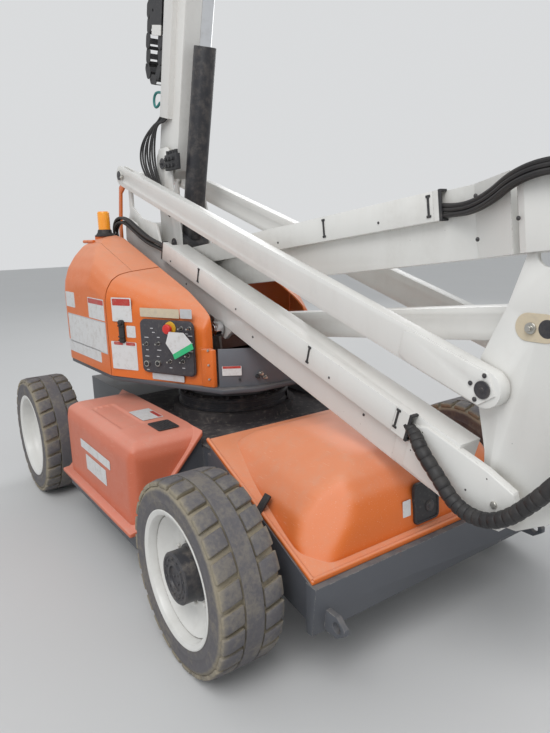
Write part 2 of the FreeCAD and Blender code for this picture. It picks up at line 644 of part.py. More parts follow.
part("control_panel", control_panel())
part("beacon", fuse(*(rod(radius, high, s.beacon_x, s.beacon_y, s.beacon_z + start, "z")
                      for radius, start, high in ((56, 0, 22), (43, 20, 18), (36, 30, 130)))))

# Lower boom and side links

low_length = root(s.low_arm_run * s.low_arm_run + s.low_arm_drop * s.low_arm_drop)
low_tilt = tilt_of(s.low_arm_drop, s.low_arm_run)


def tilt(thing, x, z, angle):
    """Seats a piece, drawn level with its rear pin at the origin, at its pin and slope."""
    return put(thing, x, 0, z, (0, -1, 0), angle)


def channel(x0, x1, y0, y1, z0, z1, wall=3):
    """A cable tray: a thin covered channel, open at both ends."""
    return cut(box(x0, x1, y0, y1, z0, z1), box(x0 - 1, x1 + 1, y0 + wall, y1 - wall, z0 + wall, z1 - wall))


def lower_boom():
    beam = side_plate([(560, -s.arm_down + 30), (620, -s.arm_down), (low_length - 230, -s.arm_down),
                       (low_length - 170, -s.arm_down + 40), (low_length - 170, s.arm_up), (560, s.arm_up)],
                      -s.arm_near, -s.arm_far)
    rear = side_plate([(-60, -56), (0, -78), (300, -96), (700, -s.arm_down), (700, s.arm_up - 20), (560, s.arm_up - 20),
                       (380, 20), (180, 30), (60, 76), (-20, 78), (-76, 30)], -s.arm_near, -s.arm_near + s.arm_plate)
    front = side_plate([(low_length - 405, -s.arm_down + 10), (low_length - 60, -s.arm_down + 6), (low_length + 40, -70),
                        (low_length + 80, 0), (low_length + 40, 70), (low_length - 60, 84), (low_length - 300, s.arm_up - 12),
                        (low_length - 405, 40)], -s.arm_near - 8, -s.arm_near + s.arm_plate)
    hubs = [cross_rod(s.hub_tube, x, 0, -s.arm_near + 1, s.riser_inner + s.riser_plate + 24)
            for x in (as_size(0), low_length)]
    caps = [cross_rod(s.hub_tube + 18, x, 0, s.riser_inner + s.riser_plate + 4, s.riser_inner + s.riser_plate + 18)
            for x in (as_size(0), low_length)]
    lug = side_plate([(s.tower_eye_along - 90, -s.arm_down + 1), (s.tower_eye_along - 40, -s.tower_eye_below - 40),
                      (s.tower_eye_along + 40, -s.tower_eye_below - 40), (s.tower_eye_along + 90, -s.arm_down + 1)],
                     -s.arm_near + 2, -s.arm_near + 22)
    tray = channel(510, low_length - 420, -s.arm_near - s.tray_depth, -s.arm_near + 1,
                   s.arm_up - s.tray_height, s.arm_up + 3)
    return tilt(fuse(beam, rear, front, *hubs, *caps, lug, tray), s.low_hub_x, s.low_hub_z, low_tilt)


part("lower_boom", lower_boom())


def side_link(side):
    near_y, far_y = s.side_link_inner, s.side_link_inner + s.side_link_width
    y0, y1 = (-far_y, -near_y) if side < 0 else (near_y, far_y)
    half = s.side_link_half
    bar = box(0, low_length, y0, y1, -half, half)
    ends = [cross_rod(half, x, 0, y0, y1) for x in (as_size(0), low_length)]
    bores = [cross_rod(s.pin_radius + s.bearing_gap, x, 0, y0 - 10, y1 + 10) for x in (as_size(0), low_length)]
    slot = box(-half - 1, 150, y0 + s.link_fork, y1 - s.link_fork, -half - 1, half + 1)
    face = (y0 - s.doubler, y0 + 1) if side < 0 else (y1 - 1, y1 + s.doubler)
    patch = side_plate([(low_length - 330, -half + 16), (low_length - 290, -half + 5), (low_length, -half + 5),
                        (low_length + half - 14, 0), (low_length, half - 5), (low_length - 290, half - 5),
                        (low_length - 330, half - 16)], *face)
    return tilt(cut(fuse(bar, *ends, patch), *bores, slot), link_rear_x, link_rear_z, low_tilt)


part("side_link_right", side_link(-1))
part("side_link_left", side_link(1))

# Knuckle between the two booms

knuckle_low_x = s.low_hub_x + s.low_arm_run
knuckle_low_z = s.low_hub_z + s.low_arm_drop
knuckle_link_x = link_rear_x + s.low_arm_run
knuckle_link_z = link_rear_z + s.low_arm_drop
up_link_x = s.up_pin_x + s.up_link_lead
up_link_z = s.up_pin_z + s.up_link_drop
up_hub = 52


def knuckle():
    shape = [(1745, 700), (1800, 662), (1860, 665), (2180, 860), (2210, 1000), (2180, 1500), (2110, 1690), (1960, 1700),
             (1900, 1650), (1850, 1483), (1790, 1320), (1712, 1165), (1712, 1015), (1740, 880)]
    inner, outer = s.riser_inner, s.riser_inner + s.riser_plate
    plates = fuse(side_plate(shape, inner, outer), side_plate(shape, -outer, -inner))
    holes = [cross_rod(s.hub_tube + s.bearing_gap, knuckle_low_x, knuckle_low_z, -outer - 20, outer + 20),
             cross_rod(up_hub + s.bearing_gap, s.up_pin_x, s.up_pin_z, -outer - 20, outer + 20),
             cross_rod(34, 1907, 1465, -outer - 1, outer + 1),
             *(cross_rod(15, 1873 + shift, 1271 + shift, -outer - 1, outer + 1) for shift in (-5, 5)),
             side_plate([(1858, 1266), (1888, 1266), (1888, 1276), (1858, 1276)], -outer - 1, outer + 1)]
    web = box(2110, 2125, -inner - 1, inner + 1, 880, 1480)
    reach = s.side_link_inner + s.side_link_width + 6
    pins = [cross_rod(s.pin_radius, knuckle_link_x, knuckle_link_z, -reach, reach),
            cross_rod(s.pin_radius, up_link_x, up_link_z, -inner - 1, inner + 1)]
    return fuse(cut(plates, *holes), web, *pins)


part("knuckle", knuckle())

# Upper boom and upper link

up_length = root(s.up_run * s.up_run + s.up_rise * s.up_rise)
up_tilt = tilt_of(s.up_rise, s.up_run)
up_rear_x = s.up_pin_x - s.up_run
up_rear_z = s.up_pin_z - s.up_rise
up_link_rear_x = up_rear_x + s.up_link_lead
up_link_rear_z = up_rear_z + s.up_link_drop
plate_outer = s.riser_inner + s.riser_plate + 6


def upper_boom():
    half, depth = s.up_half_width, s.up_half_depth
    beam = side_plate([(-62, -40), (-40, -62), (40, -66), (420, -depth), (up_length - 240, -depth), (up_length - 240, depth),
                       (420, depth), (60, 66), (-40, 62), (-62, 40)], -half, half)
    collar = box(up_length - 420, up_length - 240, -plate_outer - s.up_plate, plate_outer + s.up_plate, -depth, depth)
    cheek = [(up_length - 420, -depth), (up_length - 120, -depth), (up_length + 40, -88), (up_length + 90, 0),
             (up_length + 60, 80), (up_length - 60, depth), (up_length - 420, depth)]
    cheeks = [side_plate(cheek, plate_outer, plate_outer + s.up_plate),
              side_plate(cheek, -plate_outer - s.up_plate, -plate_outer)]
    hub = cross_rod(up_hub, up_length, 0, -plate_outer - 1, plate_outer + 1)
    bore = cross_rod(s.pin_radius + s.bearing_gap, 0, 0, -half - 1, half + 1)
    tray = channel(200, up_length - 560, -half - s.tray_depth, -half + 1, depth - s.tray_height, depth + 3)
    return tilt(cut(fuse(beam, collar, *cheeks, hub, tray), bore), up_rear_x, up_rear_z, up_tilt)


def upper_link():
    half = s.up_link_half
    bar = box(0, up_length, -55, 55, -half, half)
    ends = [cross_rod(half, x, 0, -55, 55) for x in (as_size(0), up_length)]
    bores = [cross_rod(s.pin_radius + s.bearing_gap, x, 0, -56, 56) for x in (as_size(0), up_length)]
    return tilt(cut(fuse(bar, *ends), *bores), up_link_rear_x, up_link_rear_z, up_tilt)


part("upper_boom", upper_boom())
part("upper_link", upper_link())

# Upright that carries the main boom


def upright():
    inner, outer = s.upright_inner, s.upright_inner + s.upright_plate
    shape = [(up_link_rear_x - 60, up_link_rear_z - 50), (up_link_rear_x + 50, up_link_rear_z - 55),
             (up_rear_x + 70, up_rear_z - 40), (s.lift_pin_x + 66, s.lift_pin_z - 60),
             (s.lift_pin_x + 66, s.lift_pin_z + 60), (s.boom_pin_x + 90, s.boom_pin_z - 130),
             (s.boom_pin_x + 90, s.boom_pin_z + 50), (s.boom_pin_x + 40, s.boom_pin_z + 85),
             (s.boom_pin_x - 50, s.boom_pin_z + 85), (s.boom_pin_x - 90, s.boom_pin_z + 40),
             (s.boom_pin_x - 90, s.lift_pin_z), (up_link_rear_x - 70, up_rear_z)]
    plates = [side_plate(shape, inner, outer), side_plate(shape, -outer, -inner)]
    web = box(s.boom_pin_x - 90, s.boom_pin_x - 78, -inner - 1, inner + 1, s.lift_pin_z + 30, s.boom_pin_z - 260)
    pins = [cross_rod(s.pin_radius, x, z, -outer - 8, outer + 8) for x, z in (
        (up_rear_x, up_rear_z), (up_link_rear_x, up_link_rear_z), (s.lift_pin_x, s.lift_pin_z),
        (s.boom_pin_x, s.boom_pin_z))]
    return fuse(*plates, web, *pins)


part("upright", upright())

# Cylinders: each is drawn along its own line from its lower pin


def cylinder_barrel(bore, length, width, x, y, z, angle, pin):
    tube = rod(bore, length - bore * 0.6, bore * 0.6, 0, 0, "x")
    foot = cross_rod(bore, 0, 0, -width, width)
    hollow = rod(bore - 10, length, s.cylinder_foot, 0, 0, "x")
    hole = cross_rod(pin + s.bearing_gap, 0, 0, -width - 1, width + 1)
    return put(cut(fuse(tube, foot), hollow, hole), x, y, z, (0, -1, 0), angle)


def cylinder_rod(radius, bore, start, reach, width, eye_radius, pin_width, x, y, z, angle):
    """Piston rod with its eye; the eye holds the pin."""
    bar = rod(radius, reach - start, start, 0, 0, "x")
    head = rod(bore - 10.1, 40, start, 0, 0, "x")
    end = cross_rod(eye_radius, reach, 0, -width, width)
    pin = cross_rod(s.pin_radius, reach, 0, -pin_width, pin_width)
    return put(fuse(bar, head, end, pin), x, y, z, (0, -1, 0), angle)


lift_eye_x = s.boom_pin_x + s.lift_eye_along * cosine(s.boom_angle) + s.lift_eye_below * sine(s.boom_angle)
lift_eye_z = s.boom_pin_z + s.lift_eye_along * sine(s.boom_angle) - s.lift_eye_below * cosine(s.boom_angle)
lift_run = lift_eye_x - s.lift_pin_x
lift_rise = lift_eye_z - s.lift_pin_z
lift_tilt = tilt_of(lift_rise, lift_run)
lift_span = root(lift_run * lift_run + lift_rise * lift_rise)
part("lift_barrel", cylinder_barrel(s.lift_bore, s.lift_barrel, s.upright_inner - 8, s.lift_pin_x, 0, s.lift_pin_z,
                                    lift_tilt, s.pin_radius))
part("lift_rod", cylinder_rod(s.lift_rod, s.lift_bore, s.lift_barrel - s.lift_head, lift_span, 34, 44, 40,
                              s.lift_pin_x, 0, s.lift_pin_z, lift_tilt))

low_cos, low_sin = cosine(low_tilt), sine(low_tilt)
tower_eye_x = s.low_hub_x + s.tower_eye_along * low_cos + s.tower_eye_below * low_sin
tower_eye_z = s.low_hub_z + s.tower_eye_along * low_sin - s.tower_eye_below * low_cos
tower_run = tower_eye_x - s.tower_pin_x
tower_rise = tower_eye_z - s.tower_pin_z
tower_tilt = tilt_of(tower_rise, tower_run)
tower_span = root(tower_run * tower_run + tower_rise * tower_rise)
part("tower_barrel", cylinder_barrel(s.tower_bore, s.tower_barrel, 34, s.tower_pin_x, s.tower_y, s.tower_pin_z,
                                     tower_tilt, 22))
part("tower_rod", cylinder_rod(s.tower_rod, s.tower_bore, s.tower_head, tower_span, 20, 36, 23, s.tower_pin_x,
                               s.tower_y, s.tower_pin_z, tower_tilt))

# Main boom


jib_pin_along = s.base_length + s.fly_reach + s.nose_lead


def base_boom():
    half, depth, wall = s.base_half_width, s.base_half_depth, s.base_wall
    shape = [(-70, -60), (-20, -100), (120, -depth), (s.base_length, -depth), (s.base_length, depth), (60, depth),
             (-60, 70)]
    beam = side_plate(shape, -half, half)
    hollow = box(170, s.base_length + 1, -half + wall, half - wall, -depth + wall, depth - wall)
    bore = cross_rod(s.pin_radius + s.bearing_gap, 0, 0, -half - 1, half + 1)
    ears = [side_plate([(s.lift_eye_along - 150, -depth + 1), (s.lift_eye_along - 45, -s.lift_eye_below - 45),
                        (s.lift_eye_along + 45, -s.lift_eye_below - 45), (s.lift_eye_along + 150, -depth + 1)], low, high)
            for low, high in ((-60, -46), (46, 60))]
    caps = [cross_rod(36, s.lift_eye_along, -s.lift_eye_below, low, high) for low, high in ((-68, -50), (50, 68))]
    fly_half, fly_depth = half - wall - s.fly_gap, depth - wall - s.fly_gap
    pads = cut(box(s.base_length - 110, s.base_length - 10, -half + wall - 1, half - wall + 1, -depth + wall - 1,
                   depth - wall + 1),
               box(s.base_length - 111, s.base_length, -fly_half - s.pad_gap, fly_half + s.pad_gap,
                   -fly_depth - s.pad_gap, fly_depth + s.pad_gap))
    tray = channel(240, s.base_length - 60, -half - s.tray_depth, -half + 1, -30, 70)
    return tilt(fuse(cut(beam, hollow, bore), pads, *ears, *caps, tray), s.boom_pin_x, s.boom_pin_z, s.boom_angle)


def fly_boom():
    half = s.base_half_width - s.base_wall - s.fly_gap
    depth = s.base_half_depth - s.base_wall - s.fly_gap
    tip = s.base_length + s.fly_reach
    tube = cut(box(s.fly_tail, tip, -half, half, -depth, depth),
               box(s.fly_tail - 1, tip - 12, -half + s.fly_wall, half - s.fly_wall, -depth + s.fly_wall,
                   depth - s.fly_wall))
    slack = s.fly_gap - s.pad_gap
    pads = cut(box(s.fly_tail + 20, s.fly_tail + 120, -half - slack, half + slack, -depth - slack, depth + slack),
               box(s.fly_tail, s.fly_tail + 130, -half + 1, half - 1, -depth + 1, depth - 1))
    cheek = [(tip - 150, -depth), (tip, -depth), (jib_pin_along + 30, -58), (jib_pin_along + 60, 0),
             (jib_pin_along + 30, 55), (tip, depth), (tip - 150, depth)]
    cheeks = [side_plate(cheek, half - 12, half), side_plate(cheek, -half, -half + 12)]
    bores = cross_rod(s.pin_radius + s.bearing_gap, jib_pin_along, 0, -half - 1, half + 1)
    return tilt(cut(fuse(tube, pads, *cheeks), bores), s.boom_pin_x, s.boom_pin_z, s.boom_angle)


part("base_boom", base_boom())


def power_track():
    """Hose carrier along the boom's upper side, with its loop at the lower end."""
    start, stop = s.track_start, s.base_length - s.track_stop
    run = box(start, stop, -70, 10, s.base_half_depth + 0.3, s.base_half_depth + 34)
    top = box(start, s.base_length - s.track_return, -70, 10, s.base_half_depth + 94, s.base_half_depth + 128)
    loop = cross_rod(64, start, s.base_half_depth + 64, -70, 10)
    gap = cross_rod(30, start, s.base_half_depth + 64, -71, 11)
    clear = box(start, stop + 1, -71, 11, s.base_half_depth + 34, s.base_half_depth + 94)
    return tilt(cut(fuse(run, top, loop), gap, clear), s.boom_pin_x, s.boom_pin_z, s.boom_angle)


part("power_track", power_track())
part("fly_boom", fly_boom())

# Jib

jib_x = s.boom_pin_x + jib_pin_along * cosine(s.boom_angle)
jib_z = s.boom_pin_z + jib_pin_along * sine(s.boom_angle)
jib_top_x, jib_top_z = jib_x + 190, jib_z + 60
spread_x, spread_z = 33, -157
jib_bar = 20


def link_pins(x, z):
    """Two short pins for the link's bars, clear of the jib that swings between them."""
    return [cross_rod(jib_bar, x + spread_x, z + spread_z, low, high)
            for low, high in ((-s.jib_cheek - 1, -s.link_inner + 2), (s.link_inner - 2, s.jib_cheek + 1))]


def jib_mount():
    """Level piece at the boom's nose that the jib and its link are pinned to."""
    fly_half = s.base_half_width - s.base_wall - s.fly_gap
    block = side_plate([(jib_x - 52, jib_z + 20), (jib_x - 20, jib_z - 52), (jib_x + 40, jib_z - 52), (jib_x + 110, jib_z - 40),
                        (jib_x + 110, jib_z + 90), (jib_x - 20, jib_z + 56)], -fly_half + 14, fly_half - 14)
    wall = box(jib_x + 96, jib_x + 120, -s.jib_cheek - 12, s.jib_cheek + 12, jib_z - 60, jib_z + 100)
    cheek = [(jib_x + 96, jib_z + 100), (jib_x + 96, jib_z - 60), (jib_top_x + spread_x - 30, jib_top_z + spread_z - 36),
             (jib_top_x + spread_x + 30, jib_top_z + spread_z - 36), (jib_top_x + 50, jib_top_z), (jib_top_x + 20, jib_top_z + 45)]
    cheeks = [side_plate(cheek, s.jib_cheek, s.jib_cheek + 12), side_plate(cheek, -s.jib_cheek - 12, -s.jib_cheek)]
    pins = [cross_rod(s.pin_radius, jib_x, jib_z, -fly_half - 10, fly_half + 10),
            cross_rod(jib_bar, jib_top_x, jib_top_z, -s.jib_cheek - 1, s.jib_cheek + 1),
            *link_pins(jib_top_x, jib_top_z)]
    return fuse(block, wall, *cheeks, *pins)


def jib_boom():
    depth = s.jib_half_depth
    beam = side_plate([(-20, -26), (30, -26), (160, -depth + 20), (s.jib_length - 160, -depth + 20), (s.jib_length - 30, -26),
                       (s.jib_length + 20, -26), (s.jib_length + 28, 0), (s.jib_length + 20, 28), (s.jib_length - 160, depth),
                       (160, depth), (-20, 28), (-28, 0)], -s.jib_half_width, s.jib_half_width)
    bores = [cross_rod(jib_bar + s.bearing_gap, x, 0, -s.jib_half_width - 1, s.jib_half_width + 1)
             for x in (as_size(0), s.jib_length)]
    return put(cut(beam, *bores), jib_top_x, 0, jib_top_z)


def jib_link():
    bars = []
    inner, outer = s.link_inner, s.link_inner + s.link_thick
    for y0, y1 in ((inner, outer), (-outer, -inner)):
        bar = box(0, s.jib_length, y0, y1, -18, 18)
        ends = [cross_rod(26, x, 0, y0, y1) for x in (as_size(0), s.jib_length)]
        bores = [cross_rod(jib_bar + s.bearing_gap, x, 0, y0 - 1, y1 + 1) for x in (as_size(0), s.jib_length)]
        bars.append(cut(fuse(bar, *ends), *bores))
    pair = doc.addObject("Part::Compound", "pair")
    pair.Links = bars
    return put(pair, jib_top_x + spread_x, 0, jib_top_z + spread_z)


part("jib_mount", jib_mount())
part("jib_boom", jib_boom())
part("jib_link", jib_link())

# Platform

end_x, end_z = jib_top_x + s.jib_length, jib_top_z
rotor_x = end_x + s.bracket_reach
rotor_z = end_z - 90
rotor_radius = 75
rotor_half = as_size(110)


def platform_bracket():
    cheek = [(end_x - 30, end_z + 30), (end_x + spread_x - 40, end_z + spread_z - 30), (end_x + spread_x + 20, end_z + spread_z - 34),
             (rotor_x - rotor_radius + 10, rotor_z - 70), (rotor_x - rotor_radius + 10, rotor_z + 70), (end_x + 30, end_z + 40)]
    cheeks = [side_plate(cheek, s.jib_cheek, s.jib_cheek + 12), side_plate(cheek, -s.jib_cheek - 12, -s.jib_cheek)]
    web = box(rotor_x - 150, rotor_x - rotor_radius + 20, -s.jib_cheek - 1, s.jib_cheek + 1, rotor_z - 60, rotor_z + 60)
    drum = rod(rotor_radius, 2 * rotor_half, rotor_x, 0, rotor_z - rotor_half, "z")
    pins = [cross_rod(jib_bar, end_x, end_z, -s.jib_cheek - 1, s.jib_cheek + 1),
            *link_pins(end_x, end_z)]
    return fuse(*cheeks, web, drum, *pins)


part("platform_bracket", platform_bracket())

stage_x0 = rotor_x + rotor_radius + 60
stage_x1 = stage_x0 + s.stage_depth
stage_half = s.stage_length / 2
stage_z = end_z - s.stage_floor_drop
gate_y = -stage_half


def platform_floor():
    floor = box(stage_x0, stage_x1, -stage_half, stage_half, stage_z, stage_z + s.floor_thick)
    under = box(stage_x0 - 40, stage_x1 - 60, -60, 60, stage_z - 60, stage_z + 1)
    mast = box(stage_x0 - 52, stage_x0 - s.running_gap, -60, 60, stage_z - 60, rotor_z + 190)
    arms = [box(rotor_x - 50, stage_x0 - 2, -60, 60, low, low + 30) for low in (rotor_z - rotor_half - s.running_gap - 30, rotor_z + rotor_half + s.running_gap)]
    return fuse(floor, under, mast, *arms)


def platform_rails():
    """Posts, two rails all round and a toe board; the gate fills the right end."""
    post, bar = s.post_radius, s.rail_radius
    top = stage_z + s.rail_height
    base = stage_z + s.floor_thick
    x0, x1 = stage_x0 + post, stage_x1 - post
    y0, y1 = -stage_half + post, stage_half - post
    pieces = [rod(post, top + post - base, x, y, base, "z") for x in (x0, x1) for y in (y0, as_size(0), y1)]
    for level in (top, stage_z + s.rail_height / 2):
        pieces += [rod(bar, y1 - y0, x, y0, level, "y") for x in (x0, x1)]
        pieces.append(rod(bar, x1 - x0, x0, y1, level, "x"))
    pieces.append(rod(bar, x1 - x0, x0, y0, top, "x"))
    toe = base + s.toe_height
    for low_x, high_x, low_y, high_y in ((stage_x0, stage_x0 + 4, -stage_half, stage_half),
                                         (stage_x1 - 4, stage_x1, -stage_half, stage_half),
                                         (stage_x0, stage_x1, stage_half - 4, stage_half)):
        pieces.append(box(low_x, high_x, low_y, high_y, base, toe))
    gate_x = stage_x1 - 2 * post - s.gate_gap - s.gate_tube
    eyes, bores = [], []
    for level in (stage_z + 300, stage_z + 900):
        eyes.append(rod(s.gate_tube + 9, 50, gate_x, y0, level, "z"))
        eyes.append(box(gate_x + s.gate_tube + 2, x1, y0 - 10, y0 + 10, level, level + 50))
        bores.append(rod(s.gate_tube + s.running_gap, 52, gate_x, y0, level - 1, "z"))
    return cut(fuse(*pieces, *eyes), *bores)


part("platform_floor", platform_floor())
part("platform_rails", platform_rails())


def gate():
    """Gate at the platform's right end, hung on its post at the outer side."""
    tube = s.gate_tube
    x0 = stage_x0 + 2 * s.post_radius + s.gate_gap
    x1 = stage_x1 - 2 * s.post_radius - s.gate_gap
    y = -stage_half + s.post_radius
    z0, z1 = stage_z + s.floor_thick + 30, stage_z + s.rail_height - 60
    posts = [rod(tube, z1 - z0, x, y, z0, "z") for x in (x0 + tube, x1 - tube)]
    bars = [rod(tube - 1, x1 - x0 - 2 * tube, x0 + tube, y, z, "x") for z in (z0 + tube, (z0 + z1) / 2, z1 - tube)]
    return fuse(*posts, *bars)


def platform_controls():
    top = stage_z + s.rail_height
    inner = stage_x0 + 2 * s.post_radius + s.cover_seat
    case = box(inner, stage_x0 + 200, -190, 190, top - 130, top + 20)
    shelf = box(stage_x0 + 60, stage_x0 + 170, -230, 230, top - 40, top + 60)
    return fuse(case, shelf)


part("platform_gate", gate())
part("platform_controls", platform_controls())

# Checks, then the files

doc.recompute()
for thing in doc.Objects:
    if "Invalid" in thing.State or "Error" in thing.State:
        raise RuntimeError("%s (%s) did not build: %s" % (thing.Name, thing.Label, thing.State))
os.makedirs("parts", exist_ok=True)
for label, thing in PARTS:
    shape = thing.Shape
    if shape.isNull() or not shape.isValid() or not shape.Solids:
        raise RuntimeError(label + " has no sound solid")
for label, thing in PARTS:
    thing.Shape.exportStep("parts/%s.step" % label)
print("wrote", len(PARTS), "sub-parts")
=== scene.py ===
"""Dresses the articulating boom lift: finishes, moulded covers, hoses, small fittings and the studio."""

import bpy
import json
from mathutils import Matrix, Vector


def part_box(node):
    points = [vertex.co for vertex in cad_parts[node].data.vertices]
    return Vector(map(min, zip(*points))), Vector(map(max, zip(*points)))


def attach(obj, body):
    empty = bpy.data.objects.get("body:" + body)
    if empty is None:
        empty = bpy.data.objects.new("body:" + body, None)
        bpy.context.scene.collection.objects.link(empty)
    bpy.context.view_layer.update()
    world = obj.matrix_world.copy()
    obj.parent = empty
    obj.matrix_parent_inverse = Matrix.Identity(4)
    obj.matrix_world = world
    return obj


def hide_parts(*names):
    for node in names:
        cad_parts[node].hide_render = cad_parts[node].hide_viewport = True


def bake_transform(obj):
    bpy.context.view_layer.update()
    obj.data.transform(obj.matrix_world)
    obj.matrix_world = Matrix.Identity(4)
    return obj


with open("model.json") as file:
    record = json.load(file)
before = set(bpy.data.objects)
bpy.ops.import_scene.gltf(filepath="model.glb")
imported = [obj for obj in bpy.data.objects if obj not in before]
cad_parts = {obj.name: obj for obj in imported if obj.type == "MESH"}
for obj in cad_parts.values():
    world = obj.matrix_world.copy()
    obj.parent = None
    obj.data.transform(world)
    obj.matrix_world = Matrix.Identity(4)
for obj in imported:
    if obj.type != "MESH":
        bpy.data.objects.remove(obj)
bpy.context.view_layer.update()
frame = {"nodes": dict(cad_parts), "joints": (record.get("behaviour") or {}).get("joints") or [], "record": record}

import json
import math

import bmesh
import bpy
from mathutils import Matrix, Vector

bl_info = {
    "name": "Boom lift dresser",
    "version": (1, 0, 0),
    "blender": (4, 5, 0),
    "location": "View3D > Sidebar > Boom lift",
    "description": "Gives a boom lift its finishes, covers, hoses and small fittings",
    "category": "Object",
}

NODES = frame["nodes"]
JOINTS = {joint["name"]: joint for joint in frame["joints"]}
BODY_OF = {node: body for body, nodes in frame["record"]["behaviour"]["bodies"].items() for node in nodes}


def pin(name):
    """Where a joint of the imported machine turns."""
    return Vector(JOINTS[name]["pos_m"])


class Lay:
    """A drawing laid along a boom: along, across and up from its rear pin."""

    def __init__(self, rear, front):
        self.rear = rear
        run = front - rear
        self.length = run.length
        self.angle = math.atan2(run.z, run.x)
        self.matrix = Matrix.Translation(rear) @ Matrix.Rotation(-self.angle, 4, "Y")

    def at(self, along, across, up):
        return self.matrix @ Vector((along, across, up))


LOWER = Lay(pin("tower_lift"), pin("knuckle_turn"))
LINK = Lay(pin("side_link_right_turn"), pin("side_link_right_turn") + pin("knuckle_turn") - pin("tower_lift"))
UPPER = Lay(pin("upright_turn"), pin("upper_boom_turn"))
MAIN = Lay(pin("main_boom_lift"), pin("jib_mount_turn"))


# Materials

class Wire:
    """A value on its way through a material; sums and products add their own nodes."""

    def __init__(self, finish, socket):
        self.finish = finish
        self.socket = socket

    def _sum(self, operation, first, second):
        return self.finish.node("ShaderNodeMath", {"operation": operation}, {0: first, 1: second})

    def __add__(self, other):
        return self._sum("ADD", self, other)

    def __radd__(self, other):
        return self._sum("ADD", other, self)

    def __sub__(self, other):
        return self._sum("SUBTRACT", self, other)

    def __rsub__(self, other):
        return self._sum("SUBTRACT", other, self)

    def __mul__(self, other):
        return self._sum("MULTIPLY", self, other)

    def __rmul__(self, other):
        return self._sum("MULTIPLY", other, self)

    def __truediv__(self, other):
        return self._sum("DIVIDE", self, other)

    def __pow__(self, other):
        return self._sum("POWER", self, other)


class Finish:
    """One procedural material, built up from wires."""

    def __init__(self, name, **fixed):
        self.material = bpy.data.materials.new(name)
        self.material.use_nodes = True
        self.tree = self.material.node_tree
        self.tree.nodes.clear()
        self.output = self.tree.nodes.new("ShaderNodeOutputMaterial")
        self.shader = self.tree.nodes.new("ShaderNodeBsdfPrincipled")
        self.tree.links.new(self.shader.outputs[0], self.output.inputs[0])
        for word, value in fixed.items():
            self.shader.inputs[word.replace("_", " ")].default_value = value
        self.space = self.node("ShaderNodeTexCoord", out="Object")

    def node(self, kind, settings=None, sockets=None, out=0):
        """Adds any node: its settings first, then the values or wires of its sockets."""
        fresh = self.tree.nodes.new(kind)
        for word, value in (settings or {}).items():
            if word == "stops":
                ends = fresh.color_ramp.elements
                ends[0].position, ends[0].color = value[0]
                ends[1].position, ends[1].color = value[-1]
                for place, colour in value[1:-1]:
                    ends.new(place).color = colour
            else:
                setattr(fresh, word, value)
        for key, value in (sockets or {}).items():
            if isinstance(value, Wire):
                self.tree.links.new(value.socket, fresh.inputs[key])
            else:
                fresh.inputs[key].default_value = value
        return Wire(self, fresh.outputs[out])

    def lead(self, value, socket):
        self.tree.links.new(value.socket, self.shader.inputs[socket])

    def stretched(self, x=1.0, y=1.0, z=1.0, turn=(0.0, 0.0, 0.0), shift=(0.0, 0.0, 0.0)):
        """Object coordinates, scaled and turned for a pattern that runs one way."""
        return self.node("ShaderNodeMapping", None,
                         {"Vector": self.space, "Location": shift, "Rotation": turn, "Scale": (x, y, z)})

    def noise(self, scale, detail=4.0, rough=0.55, where=None):
        return self.node("ShaderNodeTexNoise", None, {"Vector": where or self.space, "Scale": scale,
                                                      "Detail": detail, "Roughness": rough})

    def cells(self, scale, feature="F1", where=None):
        return self.node("ShaderNodeTexVoronoi", {"feature": feature},
                         {"Vector": where or self.space, "Scale": scale}, out="Distance")

    def fade(self, value, low, high, start=0.0, end=1.0):
        """A soft step from one value to another as the wire passes from low to high."""
        return self.node("ShaderNodeMapRange", {"interpolation_type": "SMOOTHSTEP"},
                         {"Value": value, "From Min": low, "From Max": high, "To Min": start, "To Max": end})

    def blend(self, amount, under, over, way="MIX"):
        """Lays one colour over another by an amount from 0 to 1."""
        return self.node("ShaderNodeMix", {"data_type": "RGBA", "blend_type": way},
                         {0: amount, 6: under, 7: over}, out=2)

    def upward(self, low=0.35, high=0.95):
        """How much the surface looks up, for dust and rain marks, and for the sun fade and painted sheen of the
        moulded covers.
        """
        normal = self.node("ShaderNodeTexCoord", out="Normal")
        return self.fade(self.node("ShaderNodeSeparateXYZ", None, {0: normal}, out=2), low, high)

    def height(self):
        return self.node("ShaderNodeSeparateXYZ", None, {0: self.space}, out=2)

    def corners(self, radius):
        """Rounded edges, and how near a point lies to one of them."""
        soft = self.node("ShaderNodeBevel", {"samples": 4}, {"Radius": radius})
        flat = self.node("ShaderNodeNewGeometry", out="True Normal")
        near = self.node("ShaderNodeVectorMath", {"operation": "DOT_PRODUCT"}, {0: soft, 1: flat}, out=1)
        return soft, self.fade(near, 0.99, 0.80)

    def crannies(self, reach):
        """How closed in a point is, by ambient occlusion: painted shade in corners and under lips on the white
        paint and the moulded covers, and where dust and rust gather on the grey paint and the steel.
        """
        open_sky = self.node("ShaderNodeAmbientOcclusion", {"samples": 6}, {"Distance": reach}, out="AO")
        return self.fade(open_sky, 0.75, 0.25)

    def bump(self, relief, depth, soft=None, strength=1.0):
        sockets = {"Height": relief, "Distance": depth, "Strength": strength}
        if soft:
            sockets["Normal"] = soft
        self.lead(self.node("ShaderNodeBump", None, sockets), "Normal")


def tone(red, green, blue):
    return (red, green, blue, 1.0)


